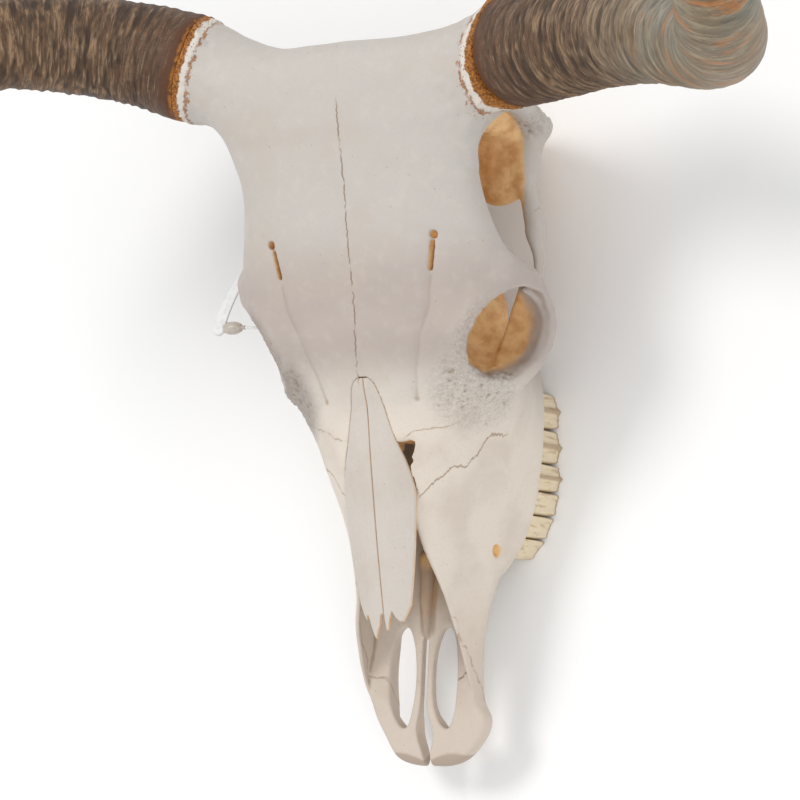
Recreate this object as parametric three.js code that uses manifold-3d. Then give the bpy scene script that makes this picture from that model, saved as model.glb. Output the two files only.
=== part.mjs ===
// The skull of a longhorn steer with both horns, life size, in millimetres.
// It lies face up on its cheek teeth and on the processes beside its neck joint, with no lower jaw.
// +Z is up from the floor, +Y runs from the nose to the poll, and +X is the animal's left side.
//
// The fused bone is described once, as a field that is negative inside bone. The field is turned
// into a closed surface, made lighter, and then parted along the main sutures with thin cuts.
// Nose bones, teeth, horns and the plastic seal are made piece by piece, since each is thin or ribbed.
import * as THREE from "three";
import { edgeTable, triTable } from "three/addons/objects/MarchingCubes.js";
import { mergeVertices } from "three/addons/utils/BufferGeometryUtils.js";
import Module from "manifold-3d";

const wasm = await Module();
wasm.setup();

// Driving sizes
const NOSE_TO_ORIGIN = 362; // from the tip of the nose to the origin, which is under the middle of the whole
const SIDE_TO_ORIGIN = 3; // from the skull's own middle plane to the origin, since the horns differ
const SUTURE_GAP = 0.3; // between bones that touch
const CELL = 3.2; // the grid that the bone's surface is first found on
const BONE_TRIANGLES = 7950; // what the fused bone keeps
const CURVE_STEP = 0.5;
const BLOCK = 5; // grid points a side that are passed over together where the surface is far away

// Curves along the skull: [distance from the nose, value]
const ROOF = curve([[60, 106], [90, 118], [140, 131], [200, 144], [270, 158], [303, 171], [360, 187],
  [400, 195], [456, 205], [490, 209], [515, 203]]);
const PLATE_HALF = curve([[255, 58], [285, 80], [300, 99], [318, 111], [333, 115], [350, 111], [380, 102],
  [410, 98], [440, 103], [470, 108], [490, 103], [505, 92]]);
const PLATE_FALL = curve([[270, 26], [300, 32], [333, 37], [370, 26], [410, 17], [450, 8], [490, 5]]);
const PLATE_DEPTH = curve([[270, 14], [333, 13], [380, 22], [440, 38], [490, 46]]);
const FACE_HALF = curve([[-6, 6], [0, 25], [8, 34], [20, 42], [32, 46], [44, 44.5], [60, 46.5], [82, 46.5],
  [103, 47.5], [118, 48], [150, 55], [184, 65], [210, 73], [235, 79], [264, 87], [290, 88], [310, 86]]);
const FACE_BELLY = curve([[0, 42], [60, 50], [100, 56], [150, 54], [184, 62], [235, 70], [264, 84], [300, 94]]);
const FACE_BEND = curve([[60, 2.0], [120, 1.8], [148, 1.7], [184, 1.6], [235, 2.0], [264, 2.4], [300, 2.6]]);
const ALVEOLAR_HALF = curve([[0, 25], [32, 44], [60, 41], [100, 41], [134, 46], [147, 56], [160, 64],
  [171, 69], [186, 74], [200, 77], [215, 78], [237, 80], [270, 79], [300, 74]]);
const WALL_TOP = curve([[-6, 44], [0, 48], [20, 51], [40, 56], [60, 64], [80, 75], [100, 89], [120, 102], [150, 119],
  [184, 136], [200, 160], [230, 240]]);
const FACE_UNDER = curve([[0, 34], [60, 37], [100, 34], [140, 28], [160, 27]]);
const WALL_THICK = curve([[20, 8], [60, 6.5], [100, 6], [180, 6.5], [215, 13], [250, 34], [285, 70]]);
const NOSE_FLOOR = curve([[20, 56], [60, 52], [110, 50], [160, 49], [250, 50]]);
const PALATE_HALF = curve([[60, 14], [100, 22], [140, 29], [200, 40], [250, 47], [300, 48]]);
const NASAL_HALF = curve([[86, 15], [108, 20], [140, 25], [184, 29], [197, 28.5], [212, 25], [226, 20], [238, 16.5],
  [250, 13.5], [262, 10.5], [268, 7.5], [272, 2]]);
const TOOTH_LINE = curve([[151, 57], [160, 65], [170, 71], [187, 77.5], [205, 80.5], [232, 80], [262, 78], [285, 71]]);

const JAW_MIDDLE = 140;
const JAW_LEAN = 0.033;

// The snout leans a little to one side, and the nose opening reaches lower on the left
const SNOUT_LEAN = curve([[0, 0], [20, -3], [32, -2], [44, 2.5], [60, 4.5], [90, 3.5], [118, 0.5], [140, 0]]);
const MIDDLE_LEAN = curve([[0, 3], [30, 3.5], [60, 4.3], [90, 4.3], [118, 2.5], [150, 0]]);
const OPEN_SIDE = curve([[60, 0], [100, 3], [121, 5], [154, 4], [172, 3], [184, 0]]);

// A smooth curve through knots, level before the first and after the last, kept as a table for speed
function curve(knots) {
  const slope = knots.map((k, i) => {
    const before = knots[Math.max(i - 1, 0)];
    const after = knots[Math.min(i + 1, knots.length - 1)];
    return (after[1] - before[1]) / (after[0] - before[0]);
  });
  const exact = (t) => {
    const i = Math.max(knots.findIndex((k) => k[0] >= t) - 1, 0);
    const [t0, v0] = knots[i];
    const [t1, v1] = knots[i + 1];
    const h = t1 - t0;
    const s = (t - t0) / h;
    const turn0 = slope[i] * h;
    const turn1 = slope[i + 1] * h;
    return v0 + s * (turn0 + s * (3 * (v1 - v0) - 2 * turn0 - turn1 + s * (2 * (v0 - v1) + turn0 + turn1)));
  };
  const first = knots[0][0];
  const last = knots.at(-1)[0];
  const steps = Math.ceil((last - first) / CURVE_STEP);
  const table = Array.from({ length: steps + 1 }, (_, i) => exact(first + ((last - first) * i) / steps));
  return (t) => {
    const s = Math.min(Math.max(((t - first) / (last - first)) * steps, 0), steps - 1e-9);
    const i = Math.floor(s);
    return table[i] + (s - i) * (table[i + 1] - table[i]);
  };
}

// Soft union, intersection and removal of two fields, rounded over about the width given
function join(a, b, width) {
  const h = Math.max(width - Math.abs(a - b), 0) / width;
  return Math.min(a, b) - (h * h * width) / 4;
}
const overlap = (a, b, width) => -join(-a, -b, width);
const remove = (a, b, width) => overlap(a, -b, width);

// An egg with its middle at c and half axes r
function egg(x, y, z, [cx, cy, cz], [rx, ry, rz]) {
  const u = (x - cx) / rx;
  const v = (y - cy) / ry;
  const w = (z - cz) / rz;
  const q = Math.hypot(u, v, w);
  const g = Math.hypot(u / rx, v / ry, w / rz);
  return g < 1e-9 ? -Math.min(rx, ry, rz) : (q * (q - 1)) / g;
}

// A round limb through knots [x, y, z, radius], its section stretched by flat along Z
function limb(x, y, z, knots, flat = 1) {
  let best = Infinity;
  for (let i = 0; i + 1 < knots.length; i++) {
    const [ax, ay, az, ar] = knots[i];
    const [bx, by, bz, br] = knots[i + 1];
    const dx = bx - ax;
    const dy = by - ay;
    const dz = (bz - az) / flat;
    const px = x - ax;
    const py = y - ay;
    const pz = (z - az) / flat;
    const t = Math.min(Math.max((px * dx + py * dy + pz * dz) / (dx * dx + dy * dy + dz * dz), 0), 1);
    best = Math.min(best, Math.hypot(px - t * dx, py - t * dy, pz - t * dz) - ar - t * (br - ar));
  }
  return best;
}

// The forehead: a broad plate that falls away at the brows
function forehead(ax, y, z) {
  const half = PLATE_HALF(y);
  const top = ROOF(y) - PLATE_FALL(y) * Math.min(ax / half, 1.3) ** 4;
  const slab = overlap(z - top, top - PLATE_DEPTH(y) - z, 4);
  const undercut = y > 340 ? 0.45 * Math.max(top - 6 - z, 0) * Math.min((y - 340) / 30, 1) : 0;
  const plan = overlap(ax - half + undercut, overlap(y - 506, 262 - y, 8), 12);
  return overlap(slab, plan, 12);
}

// The face: jaw walls that lean in to the nose bones, over the tooth sockets
function face(ax, y, z, openSide) {
  const half = FACE_HALF(y);
  const belly = FACE_BELLY(y);
  const tall = ROOF(y) - belly;
  let wall;
  if (z > belly) {
    const n = FACE_BEND(y);
    wall = (((ax / half) ** n + ((z - belly) / tall) ** n) ** (1 / n) - 1) * Math.min(half, tall);
  } else {
    const down = Math.min((belly - z) / (belly - 28), 1);
    wall = ax - half - (ALVEOLAR_HALF(y) - half) * down * down * (3 - 2 * down);
  }
  let d = overlap(wall, FACE_UNDER(y) - z, 6);
  d = overlap(d, z - WALL_TOP(y) + openSide, 5);
  d = overlap(d, overlap(y - 306, -5 - y, 4), 14);
  const cave = Math.max(wall + WALL_THICK(y), NOSE_FLOOR(y) + 0.3 * Math.max(ax - 24, 0) - z);
  return [d, Math.max(cave, y - 284)];
}

const ARCH = [[98, 456, 86, 7], [90, 438, 86, 6], [88.5, 420, 86, 5.5], [94, 402, 87, 6], [98, 386, 88, 6.5],
  [100, 362, 91, 6.5], [100.5, 336, 97, 6.5], [100.5, 312, 97, 6.5], [94, 286, 97, 9], [82, 274, 100, 12]];
const EYE = new THREE.Vector3(93.5, 303, 125);
const EYE_OUT = new THREE.Vector3(0.74, -0.42, 0.4).normalize();
const EYE_RING = { radius: 37, thick: 5.5, opening: 32.5 };

// Distances from the eye's axis and along it
function fromEye(ax, y, z) {
  const dx = ax - EYE.x;
  const dy = y - EYE.y;
  const dz = z - EYE.z;
  const along = dx * EYE_OUT.x + dy * EYE_OUT.y + dz * EYE_OUT.z;
  return [Math.sqrt(Math.max(dx * dx + dy * dy + dz * dz - along * along, 0)), along];
}

// The floor of the eye's cup, a shell behind the low side of its rim
const EYE_LOW = new THREE.Vector3(0.8, -0.25, -0.55);
function eyeFloor(ax, y, z, out, along) {
  const lowSide = (ax - EYE.x) * EYE_LOW.x + (y - EYE.y) * EYE_LOW.y + (z - EYE.z) * EYE_LOW.z;
  const shell = Math.abs(Math.hypot(out, along * 0.9) - EYE_RING.opening - 1.8) - 2.5;
  return overlap(shell, overlap(Math.abs(along + 15) - 16, 3 - lowSide, 4), 3);
}

// The back of the skull under the poll, down to the neck joint
const NAPE_HALF = curve([[18, 34], [45, 52], [70, 76], [95, 90], [130, 86], [170, 82], [205, 84]]);
const NAPE_BACK = curve([[20, 484], [60, 486], [95, 492], [130, 496], [160, 499], [190, 504]]);
function nape(ax, y, z) {
  const d = overlap(ax - NAPE_HALF(z), overlap(y - NAPE_BACK(z) + ax * 0.06, 448 - y, 6), 12);
  return overlap(d, overlap(z - 196, 24 - z, 6), 10);
}

// The rolled bone inside each half of the nose
const SCROLL = [[24, 192, 94, 8], [25, 155, 90, 10], [24, 122, 84, 8]];

const HORN_NECK = {
  left: [[66, 474, 168, 31], [102, 484, 177, 33.5], [133, 493, 185, 39.5]],
  right: [[-68, 474, 168, 31], [-106, 490, 176, 34.5], [-138, 503, 182, 39.5]],
};

function bone(x, y, z) {
  const ax = Math.abs(x);
  const [jaws, cave] = face(Math.abs(x + SNOUT_LEAN(y)), y, z, x > 0 ? OPEN_SIDE(y) : 0);
  let d = join(forehead(ax, y, z), jaws, 14);
  d = join(d, egg(x, y, z, [0, 418, 112], [50, 82, 66]), 16);
  d = join(d, egg(x, y, z, [0, 320, 112], [44, 62, 56]), 14);
  d = join(d, egg(ax, y, z, [44, 322, 84], [28, 44, 34]), 10);
  d = join(d, limb(x, y, z, [[0, 310, 66, 12], [0, 370, 58, 15], [0, 430, 50, 18], [0, 478, 44, 21]]), 12);
  d = join(d, nape(ax, y, z), 14);
  d = join(d, egg(ax, y, z, [68, 440, 84], [30, 36, 13]), 10);
  d = join(d, limb(ax, y, z, [[101, 460, 87, 8], [98, 471, 118, 9], [94, 477, 150, 12]]), 9);
  for (const neck of Object.values(HORN_NECK)) d = join(d, limb(x, y, z, neck), 22);

  // Cheek arch, the bar behind the eye and the eye's rim
  d = join(d, limb(ax, y, z, ARCH, 1.25), 8);
  d = join(d, limb(ax, y, z, [[106, 346, 146, 9], [113, 342, 128, 8], [107, 338, 104, 8]]), 9);
  const [out, along] = fromEye(ax, y, z);
  d = join(d, Math.hypot(out - EYE_RING.radius, along * 0.8) - EYE_RING.thick, 10);
  d = remove(d, Math.hypot(out, (along + 6) * 0.7) - EYE_RING.opening, 4);
  d = remove(d, egg(ax, y, z, [80, 352, 100], [22, 30, 30]), 6);
  d = join(d, eyeFloor(ax, y, z, out, along), 5);

  // Underside: neck joint, side processes, ear bulbs, wing plates behind the palate
  d = join(d, egg(ax, y, z, [24, 485, 18.5], [16, 17, 19.5]), 8);
  d = join(d, limb(ax, y, z, [[52, 470, 62, 15], [52, 466, 30, 10], [49, 462, 3, 7]]), 9);
  d = join(d, egg(ax, y, z, [50, 436, 44], [11, 17, 17]), 8);
  d = join(d, egg(ax, y, z, [21, 320, 46], [4.5, 32, 27]), 8);

  // Hollows: nose, palate, inner nostrils, brain hole, slots beside the nose rods
  d = remove(d, cave, 3);
  d = join(d, limb(ax, y, z, SCROLL), 6);
  const vault = Math.hypot(ax / PALATE_HALF(y), (z - 14) / 25) - 1;
  d = remove(d, Math.max(vault * 24, 62 - y, y - 296), 4);
  d = remove(d, egg(ax, y, z, [11, 306, 52], [8, 32, 26]), 4);
  d = remove(d, limb(x, y, z, [[0, 505, 58, 19], [0, 440, 72, 15]]), 4);
  const mx = Math.abs(x + MIDDLE_LEAN(y));
  const under = z - Math.min(NOSE_FLOOR(y), WALL_TOP(y)) + 8 + 11 * Math.min(Math.max((46 - y) / 30, 0), 1);
  d = remove(d, Math.max(mx - 27, Math.abs(y - 64) - 52, under), 5);
  d = remove(d, Math.max((Math.hypot((mx - 18.3) / 8.6, (y - 60) / 34) - 1) * 8, z - 70), 3);
  const parting = 1.7 + 4.3 * Math.exp(-(((y - 22) / 13) ** 2));
  d = remove(d, Math.max(mx - parting, y - 118, z - 90), 1.5);
  return d;
}

// Marching cubes over a box of cells, with one vertex for each grid edge that is crossed
function polygonise(field, low, high, cell) {
  const n = low.map((v, i) => Math.ceil((high[i] - v) / cell) + 1);
  const value = new Float32Array(n[0] * n[1] * n[2]);
  const at = (i, j, k) => i + n[0] * (j + n[1] * k);
  const valueAt = (i, j, k) => field(low[0] + i * cell, low[1] + j * cell, low[2] + k * cell) || 1e-6;
  const [half, reach] = [(BLOCK - 1) / 2, BLOCK * cell * 1.6];
  for (let k = 0; k < n[2]; k += BLOCK)
    for (let j = 0; j < n[1]; j += BLOCK)
      for (let i = 0; i < n[0]; i += BLOCK) {
        const about = valueAt(i + half, j + half, k + half);
        for (let c = k; c < Math.min(k + BLOCK, n[2]); c++)
          for (let b = j; b < Math.min(j + BLOCK, n[1]); b++)
            for (let a = i; a < Math.min(i + BLOCK, n[0]); a++)
              value[at(a, b, c)] = Math.abs(about) > reach ? about : valueAt(a, b, c);
      }
  const corner = [[0, 0, 0], [1, 0, 0], [1, 1, 0], [0, 1, 0], [0, 0, 1], [1, 0, 1], [1, 1, 1], [0, 1, 1]];
  const ends = [[0, 1], [1, 2], [2, 3], [3, 0], [4, 5], [5, 6], [6, 7], [7, 4], [0, 4], [1, 5], [2, 6], [3, 7]];
  const points = [];
  const faces = [];
  const made = new Map();
  const pointOn = (c, e) => {
    const [p, q] = ends[e].map((v) => c.map((m, axis) => m + corner[v][axis]));
    const [a, b] = [at(...p), at(...q)];
    const key = a < b ? a * value.length + b : b * value.length + a;
    if (!made.has(key)) {
      const t = Math.min(Math.max(value[a] / (value[a] - value[b]), 0.02), 0.98);
      made.set(key, points.length);
      points.push(p.map((m, axis) => low[axis] + cell * (m + t * (q[axis] - m))));
    }
    return made.get(key);
  };
  for (let k = 0; k < n[2] - 1; k++)
    for (let j = 0; j < n[1] - 1; j++)
      for (let i = 0; i < n[0] - 1; i++) {
        let inside = 0;
        corner.forEach((c, v) => {
          if (value[at(i + c[0], j + c[1], k + c[2])] < 0) inside |= 1 << v;
        });
        if (!edgeTable[inside]) continue;
        for (let t = inside * 16; triTable[t] !== -1; t += 3)
          faces.push([triTable[t + 2], triTable[t + 1], triTable[t]].map((e) => pointOn([i, j, k], e)));
      }
  return { points, faces };
}

// Joins short edges until few triangles are left, each time the join that moves the surface least.
// A join is refused where it would pinch the surface or turn a triangle over, so the mesh stays closed.
function lighten({ points, faces }, target) {
  const around = points.map(() => new Set());
  faces.forEach((f, i) => f.forEach((v) => around[v].add(i)));
  const cross = (f, swap = -1, by = null) => {
    const [a, b, c] = f.map((v) => (v === swap ? by : points[v]));
    const u = [b[0] - a[0], b[1] - a[1], b[2] - a[2]];
    const w = [c[0] - a[0], c[1] - a[1], c[2] - a[2]];
    return [u[1] * w[2] - u[2] * w[1], u[2] * w[0] - u[0] * w[2], u[0] * w[1] - u[1] * w[0]];
  };
  const error = points.map(() => new Float64Array(10));
  for (const f of faces) {
    const n = cross(f);
    const area = Math.hypot(...n);
    if (area < 1e-9) continue;
    const [a, b, c] = n.map((v) => v / area);
    const d = -(a * points[f[0]][0] + b * points[f[0]][1] + c * points[f[0]][2]);
    const plane = [a * a, a * b, a * c, a * d, b * b, b * c, b * d, c * c, c * d, d * d];
    for (const v of f) plane.forEach((term, i) => (error[v][i] += term * area));
  }
  const costOf = (q, [x, y, z]) =>
    q[0] * x * x + 2 * q[1] * x * y + 2 * q[2] * x * z + 2 * q[3] * x + q[4] * y * y + 2 * q[5] * y * z +
    2 * q[6] * y + q[7] * z * z + 2 * q[8] * z + q[9];
  const age = new Uint32Array(points.length);
  const heap = [];
  const less = (i, j) => heap[i].cost < heap[j].cost;
  const swap = (i, j) => ([heap[i], heap[j]] = [heap[j], heap[i]]);
  function push(item) {
    heap.push(item);
    for (let i = heap.length - 1; i > 0 && less(i, (i - 1) >> 1); i = (i - 1) >> 1) swap(i, (i - 1) >> 1);
  }
  function pop() {
    swap(0, heap.length - 1);
    const top = heap.pop();
    for (let i = 0; ; ) {
      let low = i;
      for (const j of [2 * i + 1, 2 * i + 2]) if (j < heap.length && less(j, low)) low = j;
      if (low === i) return top;
      swap(i, low);
      i = low;
    }
  }
  function offer(a, b) {
    const sum = error[a].map((v, i) => v + error[b][i]);
    const middle = points[a].map((v, i) => (v + points[b][i]) / 2);
    const choices = [points[a], points[b], middle].map((at) => [costOf(sum, at), at]);
    choices.sort((p, q) => p[0] - q[0]);
    const length = Math.hypot(...points[a].map((v, i) => v - points[b][i]));
    push({ cost: choices[0][0] + 0.004 * length ** 3, at: choices[0][1], a, b, age: age[a] + age[b] });
  }
  faces.forEach((f) => f.forEach((v, i) => v < f[(i + 1) % 3] && offer(v, f[(i + 1) % 3])));
  let left = faces.length;
  while (left > target && heap.length) {
    const { at, a, b, age: then } = pop();
    if (!around[a].size || !around[b].size || age[a] + age[b] !== then) continue;
    const ring = (v) => new Set([...around[v]].flatMap((i) => faces[i]).filter((w) => w !== v));
    const ringA = ring(a);
    const ringB = ring(b);
    if (!ringA.has(b) || [...ringA].filter((v) => ringB.has(v)).length !== 2) continue;
    const turns = (v, other) =>
      [...around[v]].some((i) => {
        if (faces[i].includes(other)) return false;
        const before = cross(faces[i]);
        const after = cross(faces[i], v, at);
        const dot = before[0] * after[0] + before[1] * after[1] + before[2] * after[2];
        return dot < 0.3 * Math.hypot(...before) * Math.hypot(...after);
      });
    if (turns(a, b) || turns(b, a)) continue;
    points[a] = at;
    error[a].forEach((v, i) => (error[a][i] = v + error[b][i]));
    for (const i of around[b]) {
      if (faces[i].includes(a)) {
        faces[i].forEach((v) => around[v].delete(i));
        faces[i] = null;
        left -= 1;
      } else {
        faces[i] = faces[i].map((v) => (v === b ? a : v));
        around[a].add(i);
      }
    }
    around[b].clear();
    age[a] += 1;
    for (const v of ring(a)) offer(a, v);
  }
  return { points, faces: faces.filter(Boolean) };
}

// Between three.js geometry and closed solids
function solidFrom(points, faces) {
  return new wasm.Manifold(
    new wasm.Mesh({
      numProp: 3,
      vertProperties: Float32Array.from(points.flat()),
      triVerts: Uint32Array.from(faces.flat()),
    }),
  );
}

function solid(geometry) {
  const bare = geometry.clone();
  for (const name of Object.keys(bare.attributes)) if (name !== "position") bare.deleteAttribute(name);
  const merged = mergeVertices(bare, 1e-4);
  return new wasm.Manifold(
    new wasm.Mesh({
      numProp: 3,
      vertProperties: merged.attributes.position.array,
      triVerts: Uint32Array.from(merged.index.array),
    }),
  );
}

function geometryOf(body) {
  const mesh = body.getMesh();
  const position = new Float32Array(mesh.numVert * 3);
  for (let v = 0; v < mesh.numVert; v++)
    for (let axis = 0; axis < 3; axis++) position[v * 3 + axis] = mesh.vertProperties[v * mesh.numProp + axis];
  const geometry = new THREE.BufferGeometry();
  geometry.setAttribute("position", new THREE.BufferAttribute(position, 3));
  geometry.setIndex(new THREE.BufferAttribute(new Uint32Array(mesh.triVerts), 1));
  geometry.computeVertexNormals();
  return geometry;
}

const largest = (body) => body.decompose().sort((a, b) => b.volume() - a.volume())[0];

// A box geometry whose corners are moved by a function of (u, v, w), each from 0 to 1
function bentBox(nu, nv, nw, place) {
  const geometry = new THREE.BoxGeometry(1, 1, 1, nu, nv, nw);
  const at = geometry.attributes.position;
  for (let i = 0; i < at.count; i++) at.setXYZ(i, ...place(at.getX(i) + 0.5, at.getY(i) + 0.5, at.getZ(i) + 0.5));
  return geometry;
}

// A big box on one side of a plane through a point; the plane faces the way that the normal points
function halfSpace(point, normal) {
  const size = 1200;
  const geometry = new THREE.BoxGeometry(size, size, size).translate(0, 0, -size / 2);
  const turn = new THREE.Quaternion().setFromUnitVectors(
    new THREE.Vector3(0, 0, 1),
    new THREE.Vector3(...normal).normalize(),
  );
  return solid(geometry.applyQuaternion(turn).translate(...point));
}

// Parts a body at a plane, with the suture gap between the two: [behind the plane, in front of it]
function part(body, point, normal) {
  const n = new THREE.Vector3(...normal).normalize();
  const shifted = (by) => point.map((v, i) => v + n.getComponent(i) * by);
  const behind = body.intersect(halfSpace(shifted(-SUTURE_GAP / 2), normal));
  const ahead = body.subtract(halfSpace(shifted(SUTURE_GAP / 2), normal));
  return [behind, ahead];
}

// Nose bones: two thin arched leaves with broken points at the tip, free of the jaw in front
const NASAL_THICK = 3.4;
const BED_MARGIN = 1;
const nasalArch = (x) => 0.0115 * x * x;

function nasalTip(s) {
  const point = Math.abs(((s * 2.4 + 0.1) % 1) - 0.5) * 2;
  return 87 + 15 * (1 - point) + 6 * s;
}

function nasalBone(side) {
  const leaf = bentBox(5, 21, 1, (u, v, w) => {
    const s = side > 0 ? u : 1 - u;
    const tip = nasalTip(s);
    const y = tip + (270 - tip) * v;
    const x = side * (0.35 + s * (NASAL_HALF(y) - 0.35));
    return [x, y, ROOF(y) - nasalArch(x) - NASAL_THICK * (1 - w) - 0.4];
  });
  return solid(leaf);
}

// The bed that the two nose bones leave in the forehead and jaws
function nasalBed() {
  return solid(
    bentBox(10, 30, 1, (u, v, w) => {
      const y = 80 + (272.5 - 80) * v;
      const x = (2 * u - 1) * (NASAL_HALF(y) + BED_MARGIN);
      const low = ROOF(y) - nasalArch(x) - NASAL_THICK - 0.9;
      return [x, y, low + (260 - low) * w];
    }),
  );
}

// Cheek teeth: three premolars, then three molars with two lobes each
const TEETH = [
  { length: 15, deep: 16, lobes: 1 },
  { length: 17, deep: 18, lobes: 1 },
  { length: 17.5, deep: 20, lobes: 1 },
  { length: 21, deep: 22, lobes: 2 },
  { length: 26, deep: 23, lobes: 2 },
  { length: 28, deep: 22, lobes: 2 },
];
const TEETH_START = 151;
const TOOTH_GAP = 0.9;
const CROWN_TOP = 40;
const CROWN_FLARE = 6; // how far a tooth's cheek side stands out at the chewing end

function toothRow(side) {
  const crowns = [];
  let y = TEETH_START;
  for (const { length, deep, lobes } of TEETH) {
    const middle = y + length / 2;
    const outer = TOOTH_LINE(middle);
    const lean = Math.atan2(TOOTH_LINE(y + length) - TOOTH_LINE(y), length);
    const outline = new THREE.Shape();
    const steps = 5 * lobes;
    const rib = (t) => 1.1 * Math.cos(t * lobes * 2 * Math.PI) + 0.9 * Math.cos(t * lobes * 4 * Math.PI);
    outline.moveTo(-deep + 3, -length / 2 + 1);
    outline.lineTo(-2.2, -length / 2 + 0.4);
    for (let i = 0; i <= steps; i++) {
      const t = i / steps;
      outline.lineTo(rib(t) - 1.4, (t - 0.5) * (length - 2.2));
    }
    outline.lineTo(-deep + 3, length / 2 - 1);
    outline.lineTo(-deep, length / 4);
    if (lobes > 1) outline.lineTo(-deep + 2.6, 0);
    outline.lineTo(-deep, -length / 4);
    const crown = new THREE.ExtrudeGeometry(outline, { depth: CROWN_TOP, bevelEnabled: false });
    const at = crown.attributes.position;
    for (let i = 0; i < at.count; i++) {
      const rise = at.getZ(i) / CROWN_TOP;
      at.setX(i, at.getX(i) * (1 - 0.1 * rise) - CROWN_FLARE * rise);
    }
    crown.rotateZ(-lean).translate(outer, middle, 0);
    if (side < 0) crown.scale(-1, 1, 1);
    crowns.push(side < 0 ? solid(flipped(crown)) : solid(crown));
    y += length + TOOTH_GAP;
  }
  return crowns;
}

// Turns every face round, after a mirroring
function flipped(geometry) {
  const bare = geometry.index ? geometry.toNonIndexed() : geometry.clone();
  const at = bare.attributes.position;
  for (let i = 0; i < at.count; i += 3) {
    const b = [at.getX(i + 1), at.getY(i + 1), at.getZ(i + 1)];
    at.setXYZ(i + 1, at.getX(i + 2), at.getY(i + 2), at.getZ(i + 2));
    at.setXYZ(i + 2, ...b);
  }
  return bare;
}

// Horns: tapered tubes from the rim of the bone neck, out, forward and up
const HORN_PATH = {
  left: [[133, 493, 185], [164, 489, 203], [219, 484, 236], [274, 473, 276], [320, 456, 322], [356, 439, 370],
    [384, 428, 415], [402, 432, 460], [414, 454, 498], [428, 492, 526], [445, 538, 542], [464, 590, 548],
    [486, 640, 545], [510, 686, 534]],
  right: [[-138, 503, 182], [-173, 514, 192], [-209, 520, 210], [-241, 521, 235], [-272, 515, 268],
    [-314, 501, 314], [-349, 486, 361], [-376, 477, 406], [-394, 479, 451], [-408, 497, 489], [-422, 531, 517],
    [-439, 577, 533], [-458, 629, 539], [-480, 679, 536], [-504, 725, 525]],
};
const HORN_GIRTH = curve([[0, 40.5], [0.05, 38.5], [0.25, 34], [0.42, 30.5], [0.62, 23.5], [0.85, 12], [1, 3]]);
const HORN_STEPS = 38;
const HORN_SIDES = 14;
const RINGED_STEPS = 14;
const RING_DEPTH = 0.6;

const hornLine = (path) => new THREE.CatmullRomCurve3(path.map((p) => new THREE.Vector3(...p)), false, "centripetal");

function horn(path) {
  const line = hornLine(path);
  const frames = line.computeFrenetFrames(HORN_STEPS, false);
  const geometry = new THREE.CylinderGeometry(1, 1, HORN_STEPS, HORN_SIDES, HORN_STEPS, false);
  const at = geometry.attributes.position;
  for (let i = 0; i < at.count; i++) {
    const step = Math.round(at.getY(i) + HORN_STEPS / 2);
    const t = step / HORN_STEPS;
    const middle = line.getPointAt(t);
    const ring = step < RINGED_STEPS ? RING_DEPTH * ((step % 2) * 2 - 1) * (1 - step / RINGED_STEPS) : 0;
    const radius = HORN_GIRTH(t) + ring;
    const across = frames.normals[step].clone().multiplyScalar(at.getX(i) * radius);
    const aside = frames.binormals[step].clone().multiplyScalar(at.getZ(i) * radius);
    const place = middle.add(across).add(aside);
    at.setXYZ(i, place.x, place.y, place.z);
  }
  const made = solid(geometry);
  return made.volume() < 0 ? solid(flipped(geometry)) : made;
}

// Plastic seal round the bar behind the right eye: a flat bow with a round end, a barrel and a thin tail
const SEAL_LEVEL = 112;
const BOW_THICK = 2.4;
const BOW_LINE = [[-154, 320], [-150, 331], [-143, 345], [-134, 359], [-126, 370]];
const TAIL_LINE = [[-131, 320], [-116, 319], [-102, 320], [-95, 329], [-93.5, 344], [-98, 361], [-110, 371],
  [-122.5, 372]];

function sealBow() {
  const spine = new THREE.CatmullRomCurve3(BOW_LINE.map(([x, y]) => new THREE.Vector3(x, y, 0)));
  const steps = 12;
  const half = (t) => 4.4 - 1.4 * t;
  const edge = (t, way) => {
    const at = spine.getPointAt(t);
    const along = spine.getTangentAt(t);
    return [at.x - way * along.y * half(t), at.y + way * along.x * half(t)];
  };
  const outline = new THREE.Shape();
  outline.moveTo(...edge(0, 1));
  for (let i = 1; i <= steps; i++) outline.lineTo(...edge(i / steps, 1));
  for (let i = steps; i >= 0; i--) outline.lineTo(...edge(i / steps, -1));
  const arm = new THREE.ExtrudeGeometry(outline, { depth: BOW_THICK, bevelEnabled: false });
  const end = new THREE.CylinderGeometry(5.2, 5.4, BOW_THICK + 0.8, 20).rotateX(Math.PI / 2);
  end.translate(...BOW_LINE[0], BOW_THICK / 2);
  return solid(arm).add(solid(end)).translate([0, 0, SEAL_LEVEL - BOW_THICK / 2]);
}

function sealBarrel() {
  const profile = [[0, 0], [3.6, 0], [4.6, 3], [4.9, 7], [4.3, 11], [2.9, 14], [1.5, 15], [1.5, 18], [0, 18]];
  const barrel = new THREE.LatheGeometry(profile.map(([r, h]) => new THREE.Vector2(r, h)), 16);
  const [x, y] = BOW_LINE[0];
  barrel.rotateZ(-Math.PI / 2).translate(x + 5.8, y, SEAL_LEVEL);
  return solid(barrel).subtract(sealTail().add(sealTail().translate([-SUTURE_GAP, 0, 0])));
}

// The tail runs through the eye socket and the hollow behind it, back to the end of the bow
function sealTail() {
  const line = new THREE.CatmullRomCurve3(TAIL_LINE.map(([x, y]) => new THREE.Vector3(x, y, SEAL_LEVEL)));
  const round = new THREE.Shape().absarc(0, 0, 1.1, 0, 2 * Math.PI);
  const options = { steps: 20, curveSegments: 4, extrudePath: line, bevelEnabled: false };
  return solid(new THREE.ExtrudeGeometry(round, options));
}

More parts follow.
